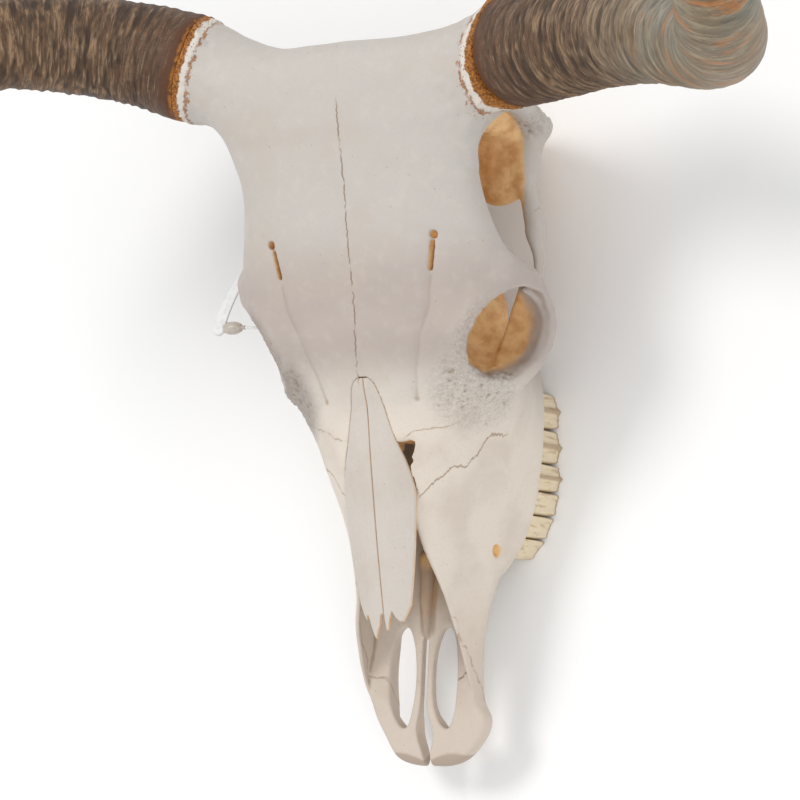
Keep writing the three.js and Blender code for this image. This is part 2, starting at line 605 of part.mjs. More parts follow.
// The fused bone, parted along its main sutures
const surface = lighten(polygonise(bone, [-190, -12, -6], [190, 560, 236], CELL), BONE_TRIANGLES);
let whole = largest(solidFrom(surface.points, surface.faces));
whole = whole.subtract(halfSpace([0, 0, 0], [0, 0, 1])); // the flats that it rests on
whole = whole.subtract(nasalBed());

const nodes = {};

// Horn necks end square where the sheaths begin
for (const [side, path] of Object.entries(HORN_PATH)) {
  const out = hornLine(path).getTangentAt(0);
  const rim = new THREE.Vector3(...path[0]).addScaledVector(out, -SUTURE_GAP);
  const ball = solid(new THREE.SphereGeometry(75, 24, 16).translate(...path[0]));
  whole = whole.subtract(ball.subtract(halfSpace(rim.toArray(), out.toArray())));
  nodes["horn_" + side] = horn(path);
}

// Face from braincase: a slanted cut from the top of the jaws to behind the last teeth
const [jaws, upper] = part(whole, [0, 226, 150], [0, 100, 70]);
const [underBrow, brow] = part(upper, [0, 300, 128], [0, -0.06, 1]);
nodes.frontal_bone = brow;
let middle = underBrow;
for (const [side, sign] of [["left", 1], ["right", -1]]) {
  const [rest, cheek] = part(middle, [sign * 68, 300, 100], [sign, -0.1, 0]);
  const [front, behind] = part(cheek, [0, 398, 90], [0, 1, 0.4]);
  nodes["zygomatic_" + side] = front;
  nodes["temporal_" + side] = behind;
  middle = rest;
}
[nodes.braincase, nodes.occipital_bone] = part(middle, [0, 458, 60], [0, 1, 0]);

// Jaws: left and right, each with the bone at its tip
const [rightJaw, leftJaw] = part(jaws, [0, JAW_MIDDLE, 0], [1, -JAW_LEAN, 0]);
for (const [side, sign, jaw] of [["left", 1, leftJaw], ["right", -1, rightJaw]]) {
  const [tip, body] = part(jaw, [0, 66, 58], [0, 0.78, -1]);
  nodes["maxilla_" + side] = toothRow(sign).reduce((sum, crown) => sum.add(crown), body);
  nodes["premaxilla_" + side] = tip;
  nodes["nasal_" + side] = nasalBone(sign);
}

nodes.seal_bow = sealBow();
nodes.seal_barrel = sealBarrel();
nodes.seal_tail = sealTail();

const finish = {
  bone: { color: 0xded6c9, roughness: 0.62 },
  horn: { color: 0x6b5a47, roughness: 0.5 },
  seal: { color: 0xd9dde2, roughness: 0.35 },
};

const skull = new THREE.Group();
for (const [name, body] of Object.entries(nodes)) {
  const look = finish[name.split("_")[0]] ?? finish.bone;
  const mesh = new THREE.Mesh(geometryOf(largest(body)), new THREE.MeshStandardMaterial(look));
  mesh.name = name;
  skull.add(mesh);
}
skull.position.set(-SIDE_TO_ORIGIN, -NOSE_TO_ORIGIN, 0);

export default skull;
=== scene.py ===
# %% [markdown]
# # A longhorn skull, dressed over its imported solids
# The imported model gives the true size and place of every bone, but its faces are coarse. Real bone is
# one smooth surface with rough, pitted and stained places, so this lesson describes that surface
# again as a field of distances, finely enough for grooves, nerve holes and sponge, and turns it into
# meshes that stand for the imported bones. Horns, teeth, nose bones and the seal get meshes of their own.

import math
from concurrent.futures import ThreadPoolExecutor

import bpy
import numpy as np
from mathutils import Matrix, Vector


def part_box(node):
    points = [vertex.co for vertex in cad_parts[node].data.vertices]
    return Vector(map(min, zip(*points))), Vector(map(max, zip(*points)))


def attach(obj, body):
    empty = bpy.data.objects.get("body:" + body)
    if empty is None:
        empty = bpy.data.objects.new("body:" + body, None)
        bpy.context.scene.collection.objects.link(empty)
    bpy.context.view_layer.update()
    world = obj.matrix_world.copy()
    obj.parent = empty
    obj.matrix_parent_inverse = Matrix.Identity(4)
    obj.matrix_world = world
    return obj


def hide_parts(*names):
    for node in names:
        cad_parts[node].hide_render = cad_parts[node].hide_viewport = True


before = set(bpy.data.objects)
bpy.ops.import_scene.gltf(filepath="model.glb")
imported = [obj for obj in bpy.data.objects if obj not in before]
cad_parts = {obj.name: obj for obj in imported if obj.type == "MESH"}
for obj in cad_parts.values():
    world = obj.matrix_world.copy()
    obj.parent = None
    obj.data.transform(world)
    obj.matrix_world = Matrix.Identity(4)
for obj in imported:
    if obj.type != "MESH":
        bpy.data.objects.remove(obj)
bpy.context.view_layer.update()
print("packed nodes:", len(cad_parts))

# %% [markdown]
# ## The skull's own measure
# Sizes are easiest in millimetres from the tip of the nose, along the skull's middle plane: x to the
# animal's left, y from nose to poll, z up from the floor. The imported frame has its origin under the
# middle of the whole, so one shift and one scale carry a point from here to there.

# %% Millimetres to the frame's metres
NOSE_TO_ORIGIN = 362
SIDE_TO_ORIGIN = 3
FINE = 1.25  # the grid that bone surfaces are found on, in mm


def to_frame(points):
    return (np.asarray(points, float) - (SIDE_TO_ORIGIN, NOSE_TO_ORIGIN, 0)) / 1000


def curve(knots, step=0.5):
    """A smooth curve through knots, level beyond its ends, kept as a table."""
    at, value = (np.array(v, float) for v in zip(*knots))
    slope = np.empty_like(value)
    slope[1:-1] = (value[2:] - value[:-2]) / (at[2:] - at[:-2])
    slope[[0, -1]] = (value[[1, -1]] - value[[0, -2]]) / (at[[1, -1]] - at[[0, -2]])
    count = int(math.ceil((at[-1] - at[0]) / step))
    fine = np.linspace(at[0], at[-1], count + 1)
    i = np.clip(np.searchsorted(at, fine, side="right") - 1, 0, len(at) - 2)
    h = at[i + 1] - at[i]
    s = (fine - at[i]) / h
    turn0, turn1 = slope[i] * h, slope[i + 1] * h
    rise = value[i + 1] - value[i]
    table = value[i] + s * (turn0 + s * (3 * rise - 2 * turn0 - turn1 + s * (turn0 + turn1 - 2 * rise)))
    table = table.astype(np.float32)

    def look_up(t):
        place = np.clip((t - at[0]) * (count / (at[-1] - at[0])), 0, count - 1e-3)
        low = place.astype(np.int32)
        return table[low] + (place - low).astype(np.float32) * (table[low + 1] - table[low])

    return look_up


# %% [markdown]
# ## Curves that carry the skull's proportions
# A side view and a top view of a skull are mostly smooth outlines. Each curve below gives one outline
# by its knots, and every form that follows is built on them.

# %% The outlines
ROOF = curve([(60, 106), (90, 118), (140, 131), (200, 144), (270, 158), (303, 171), (360, 187),
              (400, 195), (456, 205), (490, 209), (515, 203)])
PLATE_HALF = curve([(255, 58), (285, 80), (300, 99), (318, 111), (333, 115), (350, 111), (380, 102),
                    (410, 98), (440, 103), (470, 108), (490, 103), (505, 92)])
PLATE_FALL = curve([(270, 26), (300, 32), (333, 37), (370, 26), (410, 17), (450, 8), (490, 5)])
PLATE_DEPTH = curve([(270, 14), (333, 13), (380, 22), (440, 38), (490, 46)])
FACE_HALF = curve([(-6, 6), (0, 25), (8, 34), (20, 42), (32, 46), (44, 44.5), (60, 46.5), (82, 46.5),
                   (103, 47.5), (118, 48), (150, 55), (184, 65), (210, 73), (235, 79), (264, 87),
                   (290, 88), (310, 86)])
FACE_BELLY = curve([(0, 42), (60, 50), (100, 56), (150, 54), (184, 62), (235, 70), (264, 84), (300, 94)])
FACE_BEND = curve([(60, 2.0), (120, 1.8), (148, 1.7), (184, 1.6), (235, 2.0), (264, 2.4), (300, 2.6)])
ALVEOLAR_HALF = curve([(0, 25), (32, 44), (60, 41), (100, 41), (134, 46), (147, 56), (160, 64), (171, 69),
                       (186, 74), (200, 77), (215, 78), (237, 80), (270, 79), (300, 74)])
WALL_TOP = curve([(-6, 44), (0, 48), (20, 51), (40, 56), (60, 64), (80, 75), (100, 89), (120, 102),
                  (150, 119), (184, 136), (200, 160), (230, 240)])
FACE_UNDER = curve([(0, 34), (60, 37), (100, 34), (140, 28), (160, 27)])
WALL_THICK = curve([(20, 8), (60, 6.5), (100, 6), (180, 6.5), (215, 13), (250, 34), (285, 70)])
NOSE_FLOOR = curve([(20, 56), (60, 52), (110, 50), (160, 49), (250, 50)])
PALATE_HALF = curve([(60, 14), (100, 22), (140, 29), (200, 40), (250, 47), (300, 48)])
NASAL_HALF = curve([(86, 15), (108, 20), (140, 25), (184, 29), (197, 28.5), (212, 25), (226, 20),
                    (238, 16.5), (250, 13.5), (262, 10.5), (268, 7.5), (272, 2)])
TOOTH_LINE = curve([(151, 57), (160, 65), (170, 71), (187, 77.5), (205, 80.5), (232, 80), (262, 78),
                    (285, 71)])
SNOUT_LEAN = curve([(0, 0), (20, -3), (32, -2), (44, 2.5), (60, 4.5), (90, 3.5), (118, 0.5), (140, 0)])
MIDDLE_LEAN = curve([(0, 3), (30, 3.5), (60, 4.3), (90, 4.3), (118, 2.5), (150, 0)])
OPEN_SIDE = curve([(60, 0), (100, 3), (121, 5), (154, 4), (172, 3), (184, 0)])
NAPE_HALF = curve([(18, 34), (45, 52), (70, 76), (95, 90), (130, 86), (170, 82), (205, 84)])
NAPE_BACK = curve([(20, 484), (60, 486), (95, 492), (130, 496), (160, 499), (190, 504)])
print("roof at the eyes:", round(float(ROOF(np.float32(333))), 1), "mm")

# %% [markdown]
# ## Fields of distance
# A field is negative inside bone and positive outside. Eggs and limbs are joined with a soft minimum,
# as clay is pressed together, and hollows are taken away with a soft maximum. It suits a skull, where
# no edge is sharp and every part runs into the next.

# %% Soft joins, eggs and limbs
def join(a, b, width):
    h = np.maximum(width - np.abs(a - b), 0) / width
    return np.minimum(a, b) - h * h * (width / 4)


def overlap(a, b, width):
    return -join(-a, -b, width)


def remove(a, b, width):
    return overlap(a, -b, width)


def length(*parts):
    total = parts[0] * parts[0]
    for part in parts[1:]:
        total = total + part * part
    return np.sqrt(total)


def egg(x, y, z, middle, half):
    u, v, w = (x - middle[0]) / half[0], (y - middle[1]) / half[1], (z - middle[2]) / half[2]
    q = length(u, v, w)
    g = length(u / half[0], v / half[1], w / half[2])
    return q * (q - 1) / np.maximum(g, 1e-6)


def limb(x, y, z, knots, flat=1.0):
    best = None
    for (ax, ay, az, ar), (bx, by, bz, br) in zip(knots, knots[1:]):
        dx, dy, dz = bx - ax, by - ay, (bz - az) / flat
        px, py, pz = x - ax, y - ay, (z - az) / flat
        t = np.clip((px * dx + py * dy + pz * dz) / (dx * dx + dy * dy + dz * dz), 0, 1)
        d = length(px - t * dx, py - t * dy, pz - t * dz) - ar - t * (br - ar)
        best = d if best is None else np.minimum(best, d)
    return best


# %% [markdown]
# ## Grain for the field
# Bone near muscle and horn is rough. A lattice of fixed random numbers, smoothly blended, gives bumps
# that come out the same on every run.

# %% Value noise in space
def scatter(i, j, k, seed):
    n = i * 374761393 + j * 668265263 + k * 1442695041 + seed * 974634777
    n = (n ^ (n >> 13)) * 1274126177
    return ((n ^ (n >> 16)) & 0xFFFF).astype(np.float32) / 65535


def grain(x, y, z, size, seed=1):
    """Smooth random bumps from 0 to 1, about size mm across."""
    parts = [np.asarray(v, np.float32) / size for v in (x, y, z)]
    low = [np.floor(v).astype(np.int64) for v in parts]
    f = [v - l for v, l in zip(parts, low)]
    f = [v * v * (3 - 2 * v) for v in f]
    total = 0
    for a in (0, 1):
        for b in (0, 1):
            for c in (0, 1):
                weight = (f[0] if a else 1 - f[0]) * (f[1] if b else 1 - f[1]) * (f[2] if c else 1 - f[2])
                total = total + weight * scatter(low[0] + a, low[1] + b, low[2] + c, seed)
    return total


def ramp(t, low, high):
    s = np.clip((t - low) / (high - low), 0, 1)
    return s * s * (3 - 2 * s)


# %% [markdown]
# ## Forehead, face and eye
# The forehead is a broad plate that drops at the brows. The face is a tent of thin walls over the
# tooth sockets, hollow inside. The eye is a ring of bone with a deep cup behind it.

# %% The large forms
def forehead(ax, y, z):
    half = PLATE_HALF(y)
    top = ROOF(y) - PLATE_FALL(y) * np.minimum(ax / half, 1.3) ** 4
    slab = overlap(z - top, top - PLATE_DEPTH(y) - z, 4)
    undercut = 0.45 * np.maximum(top - 6 - z, 0) * np.clip((y - 340) / 30, 0, 1)
    plan = overlap(ax - half + undercut, overlap(y - 506, 262 - y, 8), 12)
    return overlap(slab, plan, 12)


def face(ax, y, z, open_side=0):
    half, belly, bend = FACE_HALF(y), FACE_BELLY(y), FACE_BEND(y)
    tall = ROOF(y) - belly
    up = np.maximum(z - belly, 0) / tall
    tent = (((ax / half) ** bend + up**bend) ** (1 / bend) - 1) * np.minimum(half, tall)
    down = np.clip((belly - z) / (belly - 28), 0, 1)
    socket = ax - half - (ALVEOLAR_HALF(y) - half) * down * down * (3 - 2 * down)
    wall = np.where(z > belly, tent, socket)
    d = overlap(wall, FACE_UNDER(y) - z, 6)
    top = WALL_TOP(y) - open_side
    d = overlap(d, z - top, 2 + 5 * ramp(76 - y, 0, 30))
    d = overlap(d, overlap(y - 306, -5 - y, 4), 14)
    thick = WALL_THICK(y) * (1 - 0.55 * ramp(z, top - 26, top - 2) * ramp(200 - y, 0, 15))
    cave = np.maximum(wall + thick, NOSE_FLOOR(y) + 0.3 * np.maximum(ax - 24, 0) - z)
    return d, np.maximum(cave, y - 284)


ARCH = [(98, 456, 86, 7), (90, 438, 86, 6), (88.5, 420, 86, 5.5), (94, 402, 87, 6), (98, 386, 88, 6.5),
        (100, 362, 91, 6.5), (100.5, 336, 97, 6.5), (100.5, 312, 97, 6.5), (94, 286, 97, 9),
        (82, 274, 100, 12)]
EYE = (93.5, 303, 125)
EYE_OUT = Vector((0.74, -0.42, 0.4)).normalized()
EYE_RADIUS, EYE_THICK, EYE_OPENING = 37, 5.5, 32.5


def from_eye(ax, y, z):
    dx, dy, dz = ax - EYE[0], y - EYE[1], z - EYE[2]
    along = dx * EYE_OUT.x + dy * EYE_OUT.y + dz * EYE_OUT.z
    return np.sqrt(np.maximum(dx * dx + dy * dy + dz * dz - along * along, 0)), along


def nape(ax, y, z):
    d = overlap(ax - NAPE_HALF(z), overlap(y - NAPE_BACK(z) + ax * 0.06, 448 - y, 6), 12)
    return overlap(d, overlap(z - 196, 24 - z, 6), 10)


# %% [markdown]
# ## Grooves, nerve holes and rough places
# Two long grooves run down the forehead from a slot above each eye, where a nerve and vessels lay.
# Small depths like these are added to the field itself, since a visible shape must be in the mesh.

# %% Fine relief on the bone
BROW_GROOVE = [(67, 366), (62, 346), (58, 320), (48, 296), (41, 276), (37, 256)]
BROW_SLOT = [(65, 362), (61.5, 344)]
SAGITTAL_FROM, SAGITTAL_TO = 272, 470


def near_path(ax, y, path):
    """Distance in plan from a path on the forehead."""
    best = None
    for (px, py), (qx, qy) in zip(path, path[1:]):
        dx, dy = qx - px, qy - py
        t = np.clip(((ax - px) * dx + (y - py) * dy) / (dx * dx + dy * dy), 0, 1)
        d = length(ax - px - t * dx, y - py - t * dy)
        best = d if best is None else np.minimum(best, d)
    return best


def horn_rim(x, y, z):
    """How near a point is to where each horn's sheath begins, along the horn."""
    best = None
    for rim, out in RIMS.values():
        along = (x - rim[0]) * out[0] + (y - rim[1]) * out[1] + (z - rim[2]) * out[2]
        away = length(x - rim[0], y - rim[1], z - rim[2])
        d = np.where(away < 90, -along, 200)
        best = d if best is None else np.minimum(best, d)
    return best


def rough_zone(ax, y, z):
    """1 where the bone is pitted: round the front of the eye, on the brow's edge and the temple."""
    out, along = from_eye(ax, y, z)
    front = ramp(58 - length(ax - 72, y - 262, (z - 126) * 0.7), 18, 40)
    rim = ramp(14 - np.abs(out - EYE_RADIUS), 5, 11) * ramp(along, -12, 4) * ramp(92 - ax + 12, 0, 14)
    temple = ramp(30 - length(ax - 100, y - 468, z - 96), 6, 20)
    return np.maximum(np.maximum(front, rim * 0.8), temple)


def relief(x, y, z):
    """How far the surface stands above the smooth field, in mm."""
    ax = np.abs(x)
    top = ramp(z, 118, 134)
    wander = 2.0 * (grain(x, y, z, 22, 3) - 0.5)
    groove = near_path(ax + wander, y, BROW_GROOVE)
    slot = np.minimum(near_path(ax + 0.5 * wander, y, BROW_SLOT), length(ax - 66.5, y - 367) - 1.4)
    soft = near_path(ax + 2 * wander, y, BROW_GROOVE)
    d = -1.1 * np.exp(-((groove / 2.6) ** 2)) * top - 1.5 * np.exp(-((soft / 9) ** 2)) * top
    d = d - 6 * ramp(1.9 - slot, 0, 1.3) * top
    suture = x - 1.1 * (grain(y * 0, y, y * 0, 9, 5) - 0.5) * 2
    in_range = ramp(y, SAGITTAL_FROM, SAGITTAL_FROM + 8) * ramp(SAGITTAL_TO - y, 0, 10)
    d = d - 0.35 * np.exp(-((suture / 0.9) ** 2)) * in_range * top
    rough = rough_zone(ax, y, z)
    bumps = grain(x, y, z, 3.6, 7) - 0.5 + 0.7 * (grain(x, y, z, 1.9, 9) - 0.5)
    d = d + rough * 1.7 * bumps
    rim = horn_rim(x, y, z)
    collar = np.exp(-(((rim - 5) / 6.5) ** 2))
    gnarl = grain(x, y, z, 5.2, 11) - 0.35 + 0.8 * (grain(x, y, z, 2.6, 13) - 0.5)
    d = d + collar * (0.5 + 2.3 * gnarl)
    fade = np.exp(-(((rim - 20) / 14) ** 2)) * (rim > 0)
    d = d + fade * 1.5 * (grain(x, y, z, 6.5, 15) - 0.5)
    return d + 0.5 * (grain(x, y, z, 16, 17) - 0.5) + 0.9 * (grain(x, y, z, 45, 19) - 0.5)


# %% [markdown]
# ## Horn paths
# The bone neck ends where the horn's sheath begins, so the horns' centre lines are needed before the
# bone. A horn grows along a curve that leaves the skull sideways, comes forward and then turns up.

# %% Horn centre lines
HORN_PATH = {
    "left": [(133, 493, 185), (164, 489, 203), (219, 484, 236), (274, 473, 276), (320, 456, 322),
             (356, 439, 370), (384, 428, 415), (402, 432, 460), (414, 454, 498), (428, 492, 526),
             (445, 538, 542), (464, 590, 548), (486, 640, 545), (510, 686, 534)],
    "right": [(-138, 503, 182), (-173, 514, 192), (-209, 520, 210), (-241, 521, 235), (-272, 515, 268),
              (-314, 501, 314), (-349, 486, 361), (-376, 477, 406), (-394, 479, 451), (-408, 497, 489),
              (-422, 531, 517), (-439, 577, 533), (-458, 629, 539), (-480, 679, 536), (-504, 725, 525)],
}
HORN_NECK = {
    "left": [(66, 474, 168, 31), (102, 484, 177, 33.5), (133, 493, 185, 39.5)],
    "right": [(-68, 474, 168, 31), (-106, 490, 176, 34.5), (-138, 503, 182, 39.5)],
}
HORN_GIRTH = curve([(0, 40.5), (0.05, 38.5), (0.25, 34), (0.42, 30.5), (0.62, 23.5), (0.85, 12), (1, 3)],
                   0.002)


def smooth_path(points, per_span=40):
    """A centripetal curve through points, and the lengths along it."""
    p = [np.array(v, float) for v in points]
    p = [2 * p[0] - p[1]] + p + [2 * p[-1] - p[-2]]
    out = []
    for a, b, c, d in zip(p, p[1:], p[2:], p[3:]):
        t0, t1 = 0.0, np.linalg.norm(b - a) ** 0.5
        t2 = t1 + np.linalg.norm(c - b) ** 0.5
        t3 = t2 + np.linalg.norm(d - c) ** 0.5
        for t in np.linspace(t1, t2, per_span, endpoint=False):
            a1 = (t1 - t) / (t1 - t0) * a + (t - t0) / (t1 - t0) * b
            a2 = (t2 - t) / (t2 - t1) * b + (t - t1) / (t2 - t1) * c
            a3 = (t3 - t) / (t3 - t2) * c + (t - t2) / (t3 - t2) * d
            b1 = (t2 - t) / (t2 - t0) * a1 + (t - t0) / (t2 - t0) * a2
            b2 = (t3 - t) / (t3 - t1) * a2 + (t - t1) / (t3 - t1) * a3
            out.append((t2 - t) / (t2 - t1) * b1 + (t - t1) / (t2 - t1) * b2)
    out.append(p[-2])
    out = np.array(out)
    run = np.concatenate([[0], np.cumsum(np.linalg.norm(np.diff(out, axis=0), axis=1))])
    return out, run


RIMS = {}
for side, path in HORN_PATH.items():
    line, run = smooth_path(path)
    start = line[2] - line[0]
    RIMS[side] = (path[0], start / np.linalg.norm(start))
    print(side, "horn:", round(run[-1]), "mm along its curve")

# %% [markdown]
# ## The whole bone
# All forms are pressed together in the order a sculptor would work: plate, face, braincase, back,
# arches, underside, and then the hollows. The rolled bone inside the nose is sponge, which random
# bumps cut into.

# %% The fused bone's field
VOMER = [(-3, 94, 50, 3.2), (-3, 118, 53, 4.5), (-1, 150, 56, 6)]
SCROLL = [(18, 178, 104, 9), (21, 148, 97, 11), (22, 124, 88, 10.5)]
EYE_BAR = [(106, 346, 146, 9), (113, 342, 128, 8), (107, 338, 104, 8)]
TEMPLE = [(101, 460, 87, 8), (98, 471, 118, 9), (94, 477, 150, 12)]
BASE = [(0, 310, 66, 12), (0, 370, 58, 15), (0, 430, 50, 18), (0, 478, 44, 21)]
NECK_PROCESS = [(52, 470, 62, 15), (52, 466, 30, 10), (49, 462, 3, 7)]
SKULL_EGGS = [((0, 418, 112), (50, 82, 66), 16), ((0, 320, 112), (44, 62, 56), 14),
              ((44, 322, 84), (28, 44, 34), 10)]
TEMPLE_SHELF = (68, 440, 84), (30, 36, 13)
BEHIND_EYE = (80, 352, 100), (22, 30, 30)
CONDYLE = (24, 485, 18.5), (16, 17, 19.5)
EAR_BULB = (50, 436, 44), (11, 17, 17)
WING, THROAT = ((21, 320, 46), (4.5, 32, 27)), ((11, 306, 52), (8, 32, 26))
SPINE_HOLE = [(0, 505, 58, 19), (0, 440, 72, 15)]
SLOT_MIDDLE, SLOT_HALF = (17.6, 62), (10.4, 37)
RELIEF_REACH = 9  # mm from the smooth field within which fine relief counts
EYE_LOW = (0.8, -0.25, -0.55)
EYE_UPPER = (97.4, 312, 127.2)
CHEEK_HOLE = [(68, 148, 50, 4.4), (56, 153.5, 54.5, 3.8), (47, 163, 66, 2.6)]
GAP = 0.3


def tear_gap(x, y):
    """The three-cornered gap beside the left nose bone, in plan."""
    ragged = 1.6 * (grain(x, y, y * 0, 3.6, 25) - 0.5)
    return np.maximum.reduce([y - 226.5, (x - 26.5 - (y - 206) * 0.28) * 0.96, 17 - x, 205 - y]) + ragged


def bone(points):
    x, y, z = points.T
    ax = np.abs(x)
    jaws, cave = face(np.abs(x + SNOUT_LEAN(y)), y, z, OPEN_SIDE(y) * (x > 0))
    d = join(forehead(ax, y, z), jaws, 14)
    for middle, size, softness in SKULL_EGGS:
        d = join(d, egg(ax, y, z, middle, size), softness)
    d = join(d, limb(x, y, z, BASE), 12)
    d = join(d, nape(ax, y, z), 14)
    d = join(d, egg(ax, y, z, *TEMPLE_SHELF), 10)
    d = join(d, limb(ax, y, z, TEMPLE), 9)
    for neck in HORN_NECK.values():
        d = join(d, limb(x, y, z, neck), 22)
    d = join(d, limb(ax, y, z, ARCH, 1.25), 8)
    d = join(d, limb(ax, y, z, EYE_BAR), 9)
    out, along = from_eye(ax, y, z)
    d = join(d, length(out - EYE_RADIUS, along * 0.8) - EYE_THICK, 10)
    rag = 2.0 * (grain(x, y, z, 6, 27) - 0.5) * (np.abs(out - EYE_RADIUS) < 14)
    d = remove(d, length(out, (along + 6) * 0.7) - EYE_OPENING + rag, 4)
    d = remove(d, length(ax - EYE_UPPER[0], y - EYE_UPPER[1], z - EYE_UPPER[2]) - 29.5 + rag, 4)
    d = remove(d, egg(ax, y, z, *BEHIND_EYE), 6)
    cup = np.abs(length(out, along * 0.9) - EYE_OPENING - 1.8) - 2.2
    low_side = (ax - EYE[0]) * EYE_LOW[0] + (y - EYE[1]) * EYE_LOW[1] + (z - EYE[2]) * EYE_LOW[2]
    cup = overlap(cup, overlap(np.abs(along + 15) - 16, 3 - low_side, 4), 3)
    d = join(d, cup, 5)
    d = join(d, egg(ax, y, z, *CONDYLE), 8)
    d = join(d, limb(ax, y, z, NECK_PROCESS), 9)
    d = join(d, egg(ax, y, z, *EAR_BULB), 8)
    d = join(d, egg(ax, y, z, *WING), 8)
    d = remove(d, cave, 3)
    near = np.abs(d) < RELIEF_REACH
    d[near] -= relief(x[near], y[near], z[near])
    roll = limb(ax, y, z, SCROLL)
    near = roll < 6
    web = np.abs(grain(x[near], y[near], z[near], 5.2, 21) - 0.5) * 9 - 1.5
    sponge = join(overlap(roll[near], web, 1), roll[near] + 6.5, 2)
    d[near] = join(d[near], sponge, 2)
    vault = length(ax / PALATE_HALF(y), (z - 14) / 25) - 1
    d = remove(d, np.maximum(np.maximum(vault * 24, 62 - y), y - 296), 4)
    d = remove(d, egg(ax, y, z, *THROAT), 4)
    d = remove(d, limb(x, y, z, SPINE_HOLE), 4)
    mx = np.abs(x + MIDDLE_LEAN(y))
    floor_top = np.minimum(NOSE_FLOOR(y), WALL_TOP(y))
    hollow = z - floor_top + 7.5 + 11 * ramp(46 - y, 0, 30)
    d = remove(d, np.maximum(np.maximum(mx - 27, np.abs(y - 64) - 52), hollow), 5)
    across, along_nose = (mx - SLOT_MIDDLE[0]) / SLOT_HALF[0], (y - SLOT_MIDDLE[1]) / SLOT_HALF[1]
    slots = np.maximum((length(across, along_nose) ** 1.6 - 1) * 8, z - 70)
    d = remove(d, slots, 2.5)
    parting = 2.2 + 4.6 * np.exp(-(((y - 22) / 13) ** 2))
    d = remove(d, np.maximum(np.maximum(mx - parting, y - 118), z - 90), 1.5)
    d = remove(d, np.maximum(tear_gap(x, y), 112 - z), 1.5)
    d = join(d, limb(x, y, z, VOMER), 3)
    d = remove(d, limb(ax, y, z, CHEEK_HOLE), 2)
    d = np.maximum(d, -z)
    bed_low = ROOF(y) - 0.0115 * x * x - 4.3
    bed = np.maximum(np.maximum(ax - NASAL_HALF(y) - 0.15, bed_low - z), np.maximum(y - 271.4, 80 - y))
    d = np.maximum(d, -bed)
    for rim, way in RIMS.values():
        along = (x - rim[0]) * way[0] + (y - rim[1]) * way[1] + (z - rim[2]) * way[2]
        away = length(x - rim[0], y - rim[1], z - rim[2]) - 75
        d = np.maximum(d, -np.maximum(-along - GAP, away))
    return d


# %% [markdown]
# ## From a field to a mesh
# A surface net puts one point in each grid cell that the surface passes, at the middle of its
# crossings, and joins neighbours with four-sided faces. They are more even than marching cubes. Only
# blocks near the surface are looked at, in four threads, and each point is then moved onto the field.

# %% The surface net
BLOCK = 8
REACH = 1.8  # how steep a field may be, with some to spare
HALF_DIAGONAL = 0.87  # of a cube with sides of 1
INNER = (np.stack(np.meshgrid(*[np.arange(BLOCK // 2)] * 3, indexing="ij"), -1).reshape(-1, 3) + 0.5) * 2
WORKERS = ThreadPoolExecutor(4)
LOCAL = np.stack(np.meshgrid(*[np.arange(BLOCK + 1)] * 3, indexing="ij"), -1).reshape(-1, 3)
CORNERS = [(a, b, c) for a in (0, 1) for b in (0, 1) for c in (0, 1)]
EDGES = [(p, q) for p in CORNERS for q in CORNERS
         if sum(q) - sum(p) == 1 and all(v >= u for u, v in zip(p, q))]


def in_threads(work, items, size):
    pieces = [items[i:i + size] for i in range(0, len(items), size)]
    return list(WORKERS.map(work, pieces))


def window(values, corner):
    return values[(slice(None),) + tuple(slice(c, c + BLOCK) for c in corner)]


def net_of_blocks(field, low, step, across, blocks):
    """Points and faces of some blocks, by cell number."""
    at = blocks[:, None, :] * BLOCK + LOCAL[None]
    places = (low + at * step).astype(np.float32).reshape(-1, 3)
    value = field(places).reshape(len(blocks), *[BLOCK + 1] * 3)
    inside = value < 0
    count = sum(window(inside, c).astype(np.int8) for c in CORNERS)
    busy = (count > 0) & (count < 8)
    where = np.argwhere(busy)
    total, crossings = np.zeros((len(where), 3)), np.zeros(len(where))
    for p, q in EDGES:
        a, b = window(value, p)[busy], window(value, q)[busy]
        crossed = (a < 0) != (b < 0)
        t = np.where(crossed, a / np.where(crossed, a - b, 1), 0)
        place = np.array(p) + t[:, None] * (np.array(q) - np.array(p))
        total += place * crossed[:, None]
        crossings += crossed
    cell = blocks[where[:, 0]] * BLOCK + where[:, 1:]
    points = low + (cell + total / crossings[:, None]) * step
    number = (cell[:, 0] * across[1] + cell[:, 1]) * across[2] + cell[:, 2]
    quads = []
    near = window(inside, (0, 0, 0))
    for axis in range(3):
        far = window(inside, tuple(int(i == axis) for i in range(3)))
        edge = np.argwhere(near != far)
        starts_inside = near[near != far]
        c = blocks[edge[:, 0]] * BLOCK + edge[:, 1:]
        u, v = np.zeros(3, int), np.zeros(3, int)
        u[(axis + 1) % 3], v[(axis + 2) % 3] = 1, 1
        ring = np.stack([c - u - v, c - v, c, c - u], 1)
        ring[~starts_inside] = ring[~starts_inside][:, ::-1]
        ok = (ring >= 0).all((1, 2))
        quads.append(((ring[..., 0] * across[1] + ring[..., 1]) * across[2] + ring[..., 2])[ok])
    return points, number, np.concatenate(quads)


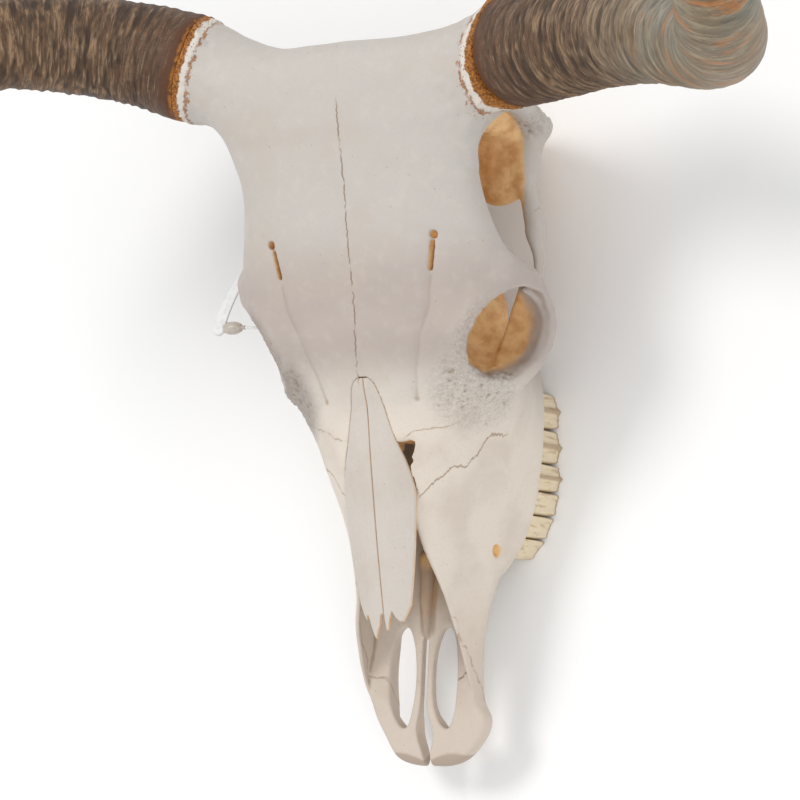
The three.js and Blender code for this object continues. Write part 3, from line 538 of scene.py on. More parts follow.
def mesh_field(field, low, high, step):
    low = np.array(low, float)
    blocks = np.ceil((np.array(high) - low) / (step * BLOCK)).astype(int)
    across = blocks * BLOCK + 1
    every = np.stack(np.meshgrid(*[np.arange(n) for n in blocks], indexing="ij"), -1).reshape(-1, 3)
    middles = (low + (every + 0.5) * BLOCK * step).astype(np.float32)
    about = np.concatenate(in_threads(field, middles, 20000))
    close = every[np.abs(about) < HALF_DIAGONAL * BLOCK * step * REACH]
    finer = (low + (close[:, None] * BLOCK + INNER) * step).astype(np.float32).reshape(-1, 3)
    about = np.abs(np.concatenate(in_threads(field, finer, 60000))).reshape(len(close), -1).min(1)
    close = close[about < HALF_DIAGONAL * 2 * step * REACH]
    made = in_threads(lambda b: net_of_blocks(field, low, step, across, b), close, 160)
    points, number, quads = (np.concatenate(v) for v in zip(*made))
    order = np.argsort(number)
    number, points = number[order], points[order]
    spot = np.clip(np.searchsorted(number, quads), 0, len(number) - 1)
    quads = spot[(number[spot] == quads).all(1)]
    points = np.concatenate(in_threads(lambda p: settle(field, p, step), points, 30000))
    return points, quads


def settle(field, points, step):
    """Moves points onto the field's surface along its steepest way."""
    probe = 0.25
    for _ in range(2):
        at = points.astype(np.float32)
        here = field(at)
        slope = np.stack([field(at + np.float32(probe) * np.eye(3, dtype=np.float32)[i]) - here
                          for i in range(3)], 1) / probe
        steep = np.maximum((slope**2).sum(1), 0.2)
        points = points - np.clip(here / steep, -0.5 * step, 0.5 * step)[:, None] * slope
    return points


# %% [markdown]
# ## Parting the bone along its sutures
# Skull bones meet along fine wavy lines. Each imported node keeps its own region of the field, with
# borders that wander a little, so the seams look grown and not sawn.

# %% Regions of the named bones
WANDER_REACH = 8  # mm from a plane, more than a border ever strays


def wander(x, y, z, seed):
    return 5.5 * (grain(x, y, z, 11, seed) - 0.5) + 2.6 * (grain(x, y, z, 4.2, seed + 1) - 0.5)


def past_plane(points, at, normal, seed):
    """How far points lie past a wavy plane."""
    x, y, z = points.T
    n = np.array(normal, float) / np.linalg.norm(normal)
    plain = ((x - at[0]) * n[0] + (y - at[1]) * n[1] + (z - at[2]) * n[2]).astype(np.float32)
    near = np.abs(plain) < WANDER_REACH
    plain[near] += wander(x[near], y[near], z[near], seed)
    return plain


def sides(points):
    jaw = past_plane(points, (0, 226, 150), (0, 100, 70), 31)
    brow = past_plane(points, (0, 300, 128), (0, -0.06, 1), 33)
    mirrored = points.copy()
    mirrored[:, 0] = np.abs(mirrored[:, 0])
    cheek = past_plane(mirrored, (68, 300, 100), (1, -0.1, 0), 35)
    arch = past_plane(points, (0, 398, 90), (0, 1, 0.4), 37)
    back = past_plane(points, (0, 458, 60), (0, 1, 0), 39)
    tip = past_plane(points, (0, 66, 58), (0, 0.78, -1), 41)
    return jaw, brow, cheek, arch, back, tip


SKIN_OVERLAP = 0.9  # the skins run a little over each other, so a seam is drawn and not a slit
JAW_MIDDLE, JAW_LEAN = 140, 0.033
REGIONS = {
    "frontal_bone": "+jaw +brow",
    "braincase": "+jaw -brow -cheek -back",
    "occipital_bone": "-brow -cheek +back",
    "zygomatic_left": "+jaw -brow +cheek -arch +left",
    "zygomatic_right": "+jaw -brow +cheek -arch -left",
    "temporal_left": "-brow +cheek +arch +left",
    "temporal_right": "-brow +cheek +arch -left",
    "maxilla_left": "-jaw +tip +left",
    "maxilla_right": "-jaw +tip -left",
    "premaxilla_left": "-jaw -tip +left",
    "premaxilla_right": "-jaw -tip -left",
}


def bone_of(name):
    """The field of one bone: the whole, kept past its + planes and short of its - planes."""
    def field(points):
        left = points[:, 0] - (points[:, 1] - JAW_MIDDLE) * JAW_LEAN
        planes = dict(zip(("jaw", "brow", "cheek", "arch", "back", "tip", "left"), (*sides(points), left)))
        limits = [(-planes[mark[1:]] if mark[0] == "+" else planes[mark[1:]]) - SKIN_OVERLAP
                  for mark in REGIONS[name].split()]
        return np.maximum.reduce([bone(points), *limits])

    return field


# %% [markdown]
# ## Stains and roughness as numbers on the points
# A finish can't see which parts of a skull are sheltered, so each point carries numbers for the shader:
# how stained it is by old tissue, how pitted, how near a horn, and how warm its bone is.

# %% Marks on the points
def marks(points):
    x, y, z = points.astype(np.float32).T
    ax = np.abs(x)
    _, cave = face(np.abs(x + SNOUT_LEAN(y)), y, z, OPEN_SIDE(y) * (x > 0))
    nose = ramp(-cave, -1.2, 3) * (0.35 * ramp(y, 40, 70) + 0.65 * ramp(y, 84, 122))
    out, along = from_eye(ax, y, z)
    cup = ramp(EYE_OPENING + 4 - out, 0, 6) * ramp(-along, -2, 16)
    pit = ramp(68 - length(ax - 68, (y - 424) * 0.8, z - 108), 0, 20)
    pit = pit * ramp(154 - z, 0, 16) * ramp(y, 345, 372) * ramp(95 - ax, 0, 6) * ramp(474 - y, 0, 8)
    cup = cup * (1 - 0.5 * ramp(ax, 88, 104))
    under = ramp(-z, -70, -30) * ramp(y, 286, 320) * 0.5
    slot = np.minimum(near_path(ax, y, BROW_SLOT), length(ax - 66.5, y - 367) - 1.4)
    slot = ramp(1.9 - slot, -0.2, 1.2) * ramp(z, 118, 134)
    tear = ramp(0.8 - tear_gap(x, y), 0, 1.2) * ramp(z, 80, 90) * ramp(ROOF(y) - z, 5, 9)
    scroll = ramp(1.5 - limb(ax, y, z, SCROLL), 0, 2)
    nose = np.maximum(nose, scroll) * (1 - 0.75 * scroll * ramp(136 - y, 0, 14))
    hole = ramp(1.2 - limb(ax, y, z, CHEEK_HOLE), 0, 1)
    mx = np.abs(x + MIDDLE_LEAN(y))
    vomer = ramp(1.2 - limb(x, y, z, VOMER), 0, 1.5) * ramp(150 - y, 0, 12)
    nose = nose * (1 - 0.75 * vomer)
    stain = np.clip(np.maximum.reduce([nose, cup, pit * 0.8, under, slot, hole, tear]), 0, 1)
    rim = horn_rim(x, y, z)
    jaw, brow, cheek, arch, back, tip = sides(points.astype(np.float32))
    seam = np.abs(jaw)
    behind = np.minimum(seam, np.abs(brow) + 8 * (np.abs(cheek) < 2))
    seam = np.where(jaw > 0, behind, np.minimum(seam, np.abs(tip)))
    seam = np.where((cheek > 0) & (brow < 0), np.minimum(seam, np.abs(arch)), seam)
    drawn = ramp(ax, 22, 26) * (1 - 0.8 * ramp(z, 88, 96) * ramp(ax, 52, 66))
    return {
        "seam": np.exp(-((seam / 0.8) ** 2)) * drawn,
        "stain": stain,
        "rough": rough_zone(ax, y, z) * (1 - stain),
        "rim": np.exp(-((rim / 9) ** 2)) * (rim < 60),
        "tone": 1 - ramp(y, 226, 300),
        "tip": 1 - ramp(y, 60, 150),
        # painted shade: marks the nose tip's front facets and the vomer inside the nose for darker
        # grey-brown
        "front": np.maximum(ramp(9 - y - 0.45 * (z - 44) - 0.016 * (mx - 23) ** 2, -1.2, 1.2), vomer),
    }


def to_object(name, points, faces, attributes=None, fans=None):
    """A piece from points in mm, four-sided faces and perhaps fans of three-sided ones."""
    mesh = bpy.data.meshes.new(name)
    fans = np.zeros((0, 3), int) if fans is None else fans
    loops = np.concatenate([faces.ravel(), fans.ravel()]).astype(np.int32)
    starts = np.concatenate([np.arange(len(faces)) * 4, faces.size + np.arange(len(fans)) * 3])
    mesh.vertices.add(len(points))
    mesh.vertices.foreach_set("co", to_frame(points).astype(np.float32).ravel())
    mesh.loops.add(len(loops))
    mesh.loops.foreach_set("vertex_index", loops)
    mesh.polygons.add(len(starts))
    mesh.polygons.foreach_set("loop_start", starts.astype(np.int32))
    mesh.update(calc_edges=True)
    mesh.validate()
    mesh.shade_smooth()
    for key, value in (attributes or {}).items():
        layer = mesh.attributes.new(key, "FLOAT", "POINT")
        layer.data.foreach_set("value", np.asarray(value, np.float32))
    thing = bpy.data.objects.new(name, mesh)
    bpy.context.collection.objects.link(thing)
    return thing


def dress(thing, finish, slot, *nodes):
    """Gives a piece its finish and hides the imported nodes that it stands for; the slot is not used."""
    thing.data.materials.clear()
    thing.data.materials.append(finish)
    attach(thing, "root")
    if nodes:
        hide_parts(*nodes)


def largest_part(points, faces):
    """Keeps the biggest connected surface, so no crumbs float beside it."""
    label = np.arange(len(points))
    pairs = np.concatenate([faces[:, [0, 1]], faces[:, [1, 2]], faces[:, [2, 3]]])
    while True:
        low = np.minimum(label[pairs[:, 0]], label[pairs[:, 1]])
        new = label.copy()
        np.minimum.at(new, pairs[:, 0], low)
        np.minimum.at(new, pairs[:, 1], low)
        new = new[new]
        if (new == label).all():
            break
        label = new
    used = label[faces[:, 0]]
    best = np.bincount(used).argmax()
    faces = faces[used == best]
    keep, index = np.unique(faces, return_inverse=True)
    return points[keep], index.reshape(faces.shape)


# %% Mesh every bone
BOX_MARGIN = 26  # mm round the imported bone, so that no skin is cut off
bones = {}
for name in REGIONS:
    low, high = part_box(name)
    shift = np.array((SIDE_TO_ORIGIN, NOSE_TO_ORIGIN, 0))
    low, high = np.array(low) * 1000 + shift - BOX_MARGIN, np.array(high) * 1000 + shift + BOX_MARGIN
    low[2] = max(low[2], -3)
    points, faces = largest_part(*mesh_field(bone_of(name), low, high, FINE))
    bones[name] = to_object("shell_" + name, points, faces, marks(points))
    print(name, len(faces), "faces")

# %% [markdown]
# ## The nose bones
# Two long thin leaves roof the nose. Their front ends are broken into uneven prongs, and they meet on
# the middle line with a fine crack. A grid bent over the roof's curve gives each leaf, with its two
# skins drawn together at every edge so that no edge is square.

# %% Nose bones
LEAF_THICK = 3.2
LEAF_ARCH = 0.0115
LEAF_BACK = 271
LEAF_TIP = {
    "left": [(0, 104), (1.6, 92.5), (3.2, 93.5), (4.6, 101), (7, 106.5), (10, 101.5), (13.5, 99),
             (16, 99.5), (18, 105), (20, 112)],
    "right": [(0, 105), (3, 104), (5.5, 96), (9, 92.5), (12.6, 86.5), (14.4, 88.5), (15.6, 96),
              (16.6, 103.5), (18.6, 103), (20.4, 100.5), (22, 104), (24, 113)],
}


def sheet_faces(rows, columns, closed=False):
    """Four-sided faces of a grid of points."""
    last = columns if closed else columns - 1
    i, j = np.meshgrid(np.arange(rows - 1), np.arange(last), indexing="ij")
    k = (j + 1) % columns
    corners = [i * columns + j, i * columns + k, (i + 1) * columns + k, (i + 1) * columns + j]
    return np.stack(corners, -1).reshape(-1, 4)


def end_fans(rows, around):
    """Three-sided faces that close a tube onto two points added after its rings."""
    j = np.arange(around)
    k = (j + 1) % around
    first, last = rows * around, rows * around + 1
    near = np.stack([j, np.full(around, first), k], 1)
    far = np.stack([(rows - 1) * around + j, (rows - 1) * around + k, np.full(around, last)], 1)
    return np.concatenate([near, far])


def nose_leaf(side):
    way = 1 if side == "left" else -1
    columns, rows = ((72, 300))
    s, t = np.linspace(0, 1, columns)[None], (np.linspace(0, 1, rows) ** 1.25)[:, None]
    at, value = zip(*LEAF_TIP[side])
    tip = np.interp(s * at[-1], at, value)
    y = (tip + t * (LEAF_BACK - tip)).astype(np.float32)
    half = NASAL_HALF(y)
    ax = 0.12 + s * (half - 0.12)
    x = way * ax
    edge = np.minimum(np.minimum(s, 1 - s) * half, np.minimum(t, 1 - t) * (LEAF_BACK - tip) * 0.8)
    round_off = np.sqrt(1 - (1 - np.clip(edge / 0.7, 0, 1)) ** 2)
    belly = 0.7 * np.sin(np.pi * s) * ramp(LEAF_BACK - y, 0, 60)
    lines = 0.22 * (grain(x * 4, y * 0.22, y * 0, 5, 61) - 0.5) + 0.35 * (grain(x, y, y * 0, 17, 63) - 0.5)
    shell = ROOF(y) - LEAF_ARCH * ax * ax
    for _ in range(8):
        tent, _cave = face(ax, y, shell)
        shell = shell - join(forehead(ax, y, shell), tent, 14)
    back = ramp(y, 206, 236)
    top = (ROOF(y) - LEAF_ARCH * ax * ax) * (1 - back) + shell * back
    middle = top + 0.25 * ramp(LEAF_BACK - y, 0, 6) + belly * (1 - back) + lines - LEAF_THICK / 2
    skin = LEAF_THICK / 2 * round_off
    upper = np.stack([x, y, middle + skin], -1).reshape(-1, 3)
    under = np.stack([x, y, middle - skin], -1).reshape(-1, 3)
    inner = ((np.arange(rows)[:, None] > 0) & (np.arange(rows)[:, None] < rows - 1)
             & (np.arange(columns) > 0) & (np.arange(columns) < columns - 1)).ravel()
    number = np.arange(rows * columns)
    below = np.where(inner, len(number) + np.cumsum(inner) - 1, number)
    faces = sheet_faces(rows, columns)
    if way > 0:
        faces = faces[:, ::-1]
    faces = np.concatenate([faces[:, ::-1], below[faces]])
    points = np.concatenate([upper, under[inner]])
    edge_all = np.concatenate([edge.ravel(), edge.ravel()[inner]])
    crack = np.exp(-((edge_all / 0.5) ** 2)) * 0.5
    low = np.concatenate([np.zeros(len(upper)), np.ones(inner.sum())])
    plain = {key: edge_all * 0 for key in ("rough", "rim", "tip", "seam", "front", "hollow")}
    return points, faces, {"stain": np.maximum(crack, low * 0.8), "tone": edge_all * 0 + 0.35, **plain}


leaves = {}
for side in ("left", "right"):
    leaves[side] = to_object("leaf_" + side, *nose_leaf(side))
    print("nose leaf", side, len(leaves[side].data.polygons), "faces")

# %% [markdown]
# ## Cheek teeth
# Six teeth a side grind grass. Each is a tall folded prism: ribs run down its cheek side, the hind
# three have two lobes, and the gum line shows as a dark band. Rings of a rounded, rippled block make
# them, drawn in a little towards the chewing end, which is worn into two low ridges.

# %% Teeth
TOOTH_LENGTHS = (15, 17, 17.5, 21, 26, 28)
TOOTH_DEPTHS = (16, 18, 20, 22, 23, 22)
TOOTH_LOBES = (1, 1, 1, 2, 2, 2)
TEETH_START, TOOTH_GAP, CROWN_TOP, CROWN_FLARE = 151, 0.5, 40, 6


def tooth(middle, outer, lean, size, deep, lobes, seed):
    around, levels = ((96, 22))
    angle = np.linspace(0, 2 * np.pi, around, endpoint=False)
    rings = []
    for level in np.concatenate([np.linspace(0, 1, levels), [1.004, 1.004]]):
        worn = min(level, 1)
        squeeze = (1 - 0.07 * worn**2) * (1 if level <= 1 else 0.62)
        squeeze = squeeze if len(rings) < levels + 1 else 0.2
        c, s = np.cos(angle), np.sin(angle)
        u = np.sign(c) * np.abs(c) ** 0.55
        v = np.sign(s) * np.abs(s) ** 0.62
        spot = u * 0.5 + 0.5
        rib = 1.5 * np.cos(2 * np.pi * lobes * spot) + 0.6 * np.cos(4 * np.pi * lobes * spot) - 0.8
        wide = v * deep / 2 + np.where(s > 0, rib * np.abs(s) ** 0.5, -0.7 * rib * np.abs(s))
        long = u * (size / 2 - TOOTH_GAP / 2)
        if level > 1:
            fold = 1.1 * np.cos(2 * np.pi * lobes * spot) - 0.6
        else:
            fold = 0.5 * np.cos(2 * np.pi * lobes * spot) * worn**6
        y = middle + long * squeeze
        x = outer - CROWN_FLARE * (1 - worn) ** 1.2 - deep / 2 + wide * squeeze + lean * long * squeeze
        z = CROWN_TOP * (1 - worn) + np.maximum(fold, 0) * 0.9
        ripple = 0.5 * (grain(x * 2, y * 2, z * 0.4, 3, seed) - 0.5)
        rings.append(np.stack([x + ripple * (s > 0), y, np.maximum(z, 0)], -1))
    points = np.concatenate(rings)
    faces = sheet_faces(len(rings), around, closed=True)
    return points, faces


def tooth_row(way):
    parts, all_faces, start, y = [], [], 0, TEETH_START
    for i, (size, deep, lobes) in enumerate(zip(TOOTH_LENGTHS, TOOTH_DEPTHS, TOOTH_LOBES)):
        middle = y + size / 2
        outer = float(TOOTH_LINE(np.float32(middle)))
        lean = float(TOOTH_LINE(np.float32(middle + 6)) - TOOTH_LINE(np.float32(middle - 6))) / 12
        points, faces = tooth(middle, outer, lean, size, deep, lobes, 71 + i)
        points[:, 0] *= way
        parts.append(points)
        all_faces.append((faces[:, ::-1] if way > 0 else faces) + start)
        start += len(points)
        y += size
    return np.concatenate(parts), np.concatenate(all_faces)


teeth = {}
for side, way in (("left", 1), ("right", -1)):
    points, faces = tooth_row(way)
    teeth[side] = to_object("teeth_" + side, points, faces)
    print("tooth row", side, len(faces), "faces")

# %% [markdown]
# ## Horns
# A horn's sheath is built of cones of horn, one for each season, so rings run round it, rough as bark
# near the skull and finer beyond. Rings of points are carried along the centre line without twist,
# and random bumps stretched round the horn move them. Each point keeps its place on the unrolled
# horn, which the finish needs, because its streaks follow the horn and not the room.

# %% Horns
def turned_rings(line, run, stations):
    """Centre points and two crossways directions, carried without twist."""
    centre = np.stack([np.interp(stations, run, line[:, i]) for i in range(3)], 1)
    way = np.gradient(centre, axis=0)
    way /= np.linalg.norm(way, axis=1)[:, None]
    across = [np.cross(way[0], (0, 0, 1.0))]
    across[0] /= np.linalg.norm(across[0])
    for w in way[1:]:
        a = across[-1] - np.dot(across[-1], w) * w
        across.append(a / np.linalg.norm(a))
    across = np.array(across)
    return centre, way, across, np.cross(way, across)


def horn(side):
    line, run = smooth_path(HORN_PATH[side])
    step, around = ((1.3, 176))
    total = run[-1]
    stations = np.linspace(0, total - 0.02, int(total / step))
    centre, way, across, other = turned_rings(line, run, stations)
    angle = np.linspace(0, 2 * np.pi, around, endpoint=False)[None]
    s = stations[:, None].astype(np.float32)
    girth = HORN_GIRTH(s / total)
    end = np.sqrt(np.clip(1 - (np.clip(s - (total - 5), 0, 5) / 5) ** 2, 0.0001, 1))
    u, v = girth * np.cos(angle), girth * np.sin(angle)
    s2 = s + 0 * angle
    drift = 16 * (grain(u, v, s2, 42, 81) - 0.5) + 5 * (grain(u, v, s2, 12, 83) - 0.5)
    phase = (s2 + drift) / (8.6 + 3.5 * ramp(s2, 120, 320))
    saw = np.abs(phase % 1 - 0.5) * 2
    ringed = 1 - ramp(s2, 210, 430)
    seasons = (0.9 * saw**1.4 - 0.45) * (0.25 + 0.75 * ringed) * ramp(s2, 4, 22)
    bark = (grain(u * 0.22, v * 0.22, s2, 5.5, 85) - 0.5) * 2.0
    bark = bark + (grain(u * 0.5, v * 0.5, s2, 2.6, 87) - 0.5) * 1.1
    bark = bark * (0.18 + 0.82 * ringed) * (0.35 + 0.65 * ramp(s2, 12, 60))
    lip = -1.8 * (1 - ramp(s2, 0, 3.5)) + 1.0 * (grain(u, v, s2, 5, 89) - 0.5) * (1 - ramp(s2, 3, 10))
    big = 1.6 * (grain(u, v, s2, 60, 91) - 0.5) * ramp(s2, 10, 60)
    radius = (girth + (seasons + bark + lip + big) * (0.3 + 0.7 * ramp(girth, 4, 16))) * end
    radius = np.minimum(radius, girth + 2.2)
    points = centre[:, None] + radius[..., None] * (
        np.cos(angle)[..., None] * across[:, None] + np.sin(angle)[..., None] * other[:, None])
    inner = centre[0] + 0.25 * (points[:1] - centre[0])
    points = np.concatenate([inner, points])
    wrap = np.stack([u, v, s2], -1)
    wrap = np.concatenate([wrap[:1], wrap])
    rows = len(points)
    faces = sheet_faces(rows, around, closed=True)
    points = np.concatenate([points.reshape(-1, 3), centre[:1], centre[-1:] + way[-1:] * 0.02])
    wrap = np.concatenate([wrap.reshape(-1, 3), [[0, 0, 0], [0, 0, total]]])
    return points, faces, end_fans(rows, around), wrap, seasons, bark


horns = {}
for side in HORN_PATH:
    points, quads, triangles, wrap, seasons, bark = horn(side)
    horns[side] = to_object("sheath_" + side, points, quads, fans=triangles)
    layer = horns[side].data.attributes.new("wrap", "FLOAT_VECTOR", "POINT")
    layer.data.foreach_set("vector", wrap.astype(np.float32).ravel())
    # The depth of each point in the rings and bark, kept as low for painted shade in the furrows.
    low = np.zeros(len(points), np.float32)
    body = np.clip(0.5 - (seasons + bark) * 0.55, 0, 1)
    low[:body.size + body.shape[1]] = np.concatenate([body[:1], body]).ravel()
    layer = horns[side].data.attributes.new("low", "FLOAT", "POINT")
    layer.data.foreach_set("value", low)
    print("horn", side, len(quads), "faces")

# %% [markdown]
# ## The plastic seal
# A loop seal hangs at the right eye: a flat strap, a barrel that it locks into, and its thin tail
# run round the bar behind the eye. The strap and tail are sections carried along their lines, and
# the barrel is turned.

# %% Seal
SEAL_LEVEL, STRAP_THICK = 112, 2.4
STRAP_LINE = [(-154, 320), (-150, 331), (-143, 345), (-134, 359), (-126, 370)]
TAIL_LINE = [(-131, 320), (-116, 319), (-102, 320), (-95, 329), (-93.5, 344), (-98, 361), (-110, 371),
             (-122.5, 372)]
BARREL = [(0, 0), (3.3, 0), (3.6, 0.3), (4.3, 2.2), (4.6, 3), (4.9, 5), (4.9, 8.6), (4.5, 10), (4.3, 11),
          (3.4, 13), (2.9, 14), (1.9, 14.6), (1.5, 15.2), (1.5, 17.6), (1.2, 18), (0, 18)]


def carried(line, section, widths, up=(0, 0, 1)):
    """Rings of a section carried along a line."""
    line = np.array(line, float)
    way = np.gradient(line, axis=0)
    way /= np.linalg.norm(way, axis=1)[:, None]
    side = np.cross(way, up)
    side /= np.linalg.norm(side, axis=1)[:, None]
    rise = np.cross(side, way)
    return np.stack([p + section[:, :1] * w * a + section[:, 1:] * b
                     for p, w, a, b in zip(line, widths, side, rise)])


def rings_object(name, rings):
    """A closed form through rings, with a fan at each end."""
    rows, around = rings.shape[:2]
    points = np.concatenate([rings.reshape(-1, 3), rings[:1].mean(1), rings[-1:].mean(1)])
    quads, caps = sheet_faces(rows, around, closed=True), end_fans(rows, around)
    thing = to_object(name, points, quads, fans=caps)
    if signed_volume(points, quads, caps) < 0:
        thing.data.flip_normals()
    return thing


def signed_volume(points, quads, caps):
    tri = np.concatenate([quads[:, [0, 1, 2]], quads[:, [0, 2, 3]], caps])
    a, b, c = (points[tri[:, i]] for i in range(3))
    return (a * np.cross(b, c)).sum()


strap_line, _ = smooth_path([(x, y, SEAL_LEVEL) for x, y in STRAP_LINE], 10)
turn = np.linspace(0, 2 * np.pi, 40, endpoint=False)
soft_box = np.stack([np.sign(np.cos(turn)) * np.abs(np.cos(turn)) ** 0.35,
                     np.sign(np.sin(turn)) * np.abs(np.sin(turn)) ** 0.5 * STRAP_THICK / 2], 1)
along = np.linspace(0, 1, len(strap_line))
widths = 5.2 - 2 * along
widths[[0, -1]] *= 0.86
strap = rings_object("strap", carried(strap_line, soft_box, widths))
tail_line, _ = smooth_path([(x, y, SEAL_LEVEL) for x, y in TAIL_LINE], 12)
round_section = np.stack([np.cos(turn), 1.1 * np.sin(turn)], 1)
tail = rings_object("tail", carried(tail_line, round_section, np.full(len(tail_line), 1.1)))
BOSS = [(4.6, -1.6), (5.3, -1.1), (5.5, 0), (5.3, 1.1), (4.6, 1.6), (3.4, 1.35), (2.6, 1.35)]
boss_x, boss_y = STRAP_LINE[0]
disc = np.stack([[(boss_x + r * math.cos(a), boss_y + r * math.sin(a), SEAL_LEVEL + h) for a in turn]
                 for r, h in BOSS])
boss = rings_object("boss", disc)
barrel_x = boss_x + 5.8
barrel_rings = np.stack([[(barrel_x + x, boss_y + r * math.cos(a), SEAL_LEVEL + r * math.sin(a))
                          for a in turn] for r, x in BARREL if r > 0])
barrel = rings_object("barrel", barrel_rings)
print("seal pieces:", strap.name, boss.name, barrel.name, tail.name)

# %% [markdown]
# ## Writing finishes as sums
# Each finish is a set of nodes. A small wrapper lets a socket be added, multiplied and compared in
# plain Python, so a finish reads as what it is: one colour laid over another where a mask says so.

# %% A wrapper for sockets
class Value:
    """A socket whose operators add nodes."""

    def __init__(self, finish, socket):
        self.finish, self.socket = finish, socket

    def math(self, operation, *others):
        return self.finish.node("ShaderNodeMath", {"operation": operation}, dict(enumerate((self, *others))))

    def __add__(self, other):
        return self.math("ADD", other)

    def __sub__(self, other):
        return self.math("SUBTRACT", other)

    def __rsub__(self, other):
        return self.finish.node("ShaderNodeMath", {"operation": "SUBTRACT"}, {0: other, 1: self})

    def __mul__(self, other):
        return self.math("MULTIPLY", other)

    def __truediv__(self, other):
        return self.math("DIVIDE", other)

    __radd__, __rmul__ = __add__, __mul__

    def __abs__(self):
        return self.math("ABSOLUTE")

    def most(self, other):
        return self.math("MAXIMUM", other)

    def rise(self, low, high):
        """0 below low, 1 above high, smooth between."""
        return self.finish.node("ShaderNodeMapRange", {"interpolation_type": "SMOOTHSTEP"},
                                {0: self, 1: low, 2: high})

    def line(self, width):
        """1 where the value is near 0, and 0 from width on."""
        return 1 - abs(self).rise(width * 0.35, width)


class Finish:
    """One material, with its nodes."""

    def __init__(self, name):
        self.material = bpy.data.materials.new(name)
        self.material.use_nodes = True
        self.tree = self.material.node_tree
        self.tree.nodes.clear()

    def node(self, kind, settings=None, values=None, out=0):
        made = self.tree.nodes.new(kind)
        for key, value in (settings or {}).items():
            setattr(made, key, value)
        for key, value in (values or {}).items():
            if isinstance(value, Value):
                self.tree.links.new(value.socket, made.inputs[key])
            else:
                made.inputs[key].default_value = value
        return Value(self, made.outputs[out])

    def attribute(self, name, out=2):
        return self.node("ShaderNodeAttribute", {"attribute_name": name}, out=out)

    def place(self):
        """The point's place in mm along the skull, as a vector and as x, y and z."""
        here = self.node("ShaderNodeTexCoord", out=3)
        here = self.node("ShaderNodeVectorMath", {"operation": "SCALE"}, {0: here, 3: 1000.0})
        here = self.node("ShaderNodeVectorMath", {"operation": "ADD"},
                         {0: here, 1: (SIDE_TO_ORIGIN, NOSE_TO_ORIGIN, 0)})
        return here, *self.split(here)

    def split(self, vector):
        made = self.tree.nodes.new("ShaderNodeSeparateXYZ")
        self.tree.links.new(vector.socket, made.inputs[0])
        return [Value(self, socket) for socket in made.outputs]

    def stretch(self, vector, amounts):
        return self.node("ShaderNodeVectorMath", {"operation": "MULTIPLY"}, {0: vector, 1: amounts})

    def noise(self, vector, size, detail=3.0, wild=0.55, bend=0.0):
        """Cloudy bumps about size mm across, near 0.5."""
        return self.node("ShaderNodeTexNoise", None, {"Vector": vector, "Scale": 1 / size, "Detail": detail,
                                                      "Roughness": wild, "Distortion": bend})

    def cells(self, vector, size):
        """Distance from the nearest of scattered points."""
        return self.node("ShaderNodeTexVoronoi", None, {"Vector": vector, "Scale": 1 / size})

    def over(self, mask, under, upper):
        """The colour upper laid over under, as far as the mask says."""
        return self.node("ShaderNodeMix", {"data_type": "RGBA"}, {0: mask, 6: under, 7: upper}, out=2)

    def bump(self, height, strength, distance, under=None):
        values = {"Height": height, "Strength": strength, "Distance": distance}
        if under is not None:
            values["Normal"] = under
        return self.node("ShaderNodeBump", None, values)

    def surface(self, colour, roughness, normal=None, **fixed):
        values = {"Base Color": colour, "Roughness": roughness, **fixed}
        if normal is not None:
            values["Normal"] = normal
        shader = self.node("ShaderNodeBsdfPrincipled", None, values)
        self.node_out(shader)
        return self.material

    def node_out(self, shader):
        out = self.tree.nodes.new("ShaderNodeOutputMaterial")
        self.tree.links.new(shader.socket, out.inputs[0])


def tint(red, green, blue):
    """A colour as read from a screen, made linear for the shader."""
    return tuple((c / 255 / 12.92) if c < 11 else ((c / 255 + 0.055) / 1.055) ** 2.4
                 for c in (red, green, blue)) + (1.0,)
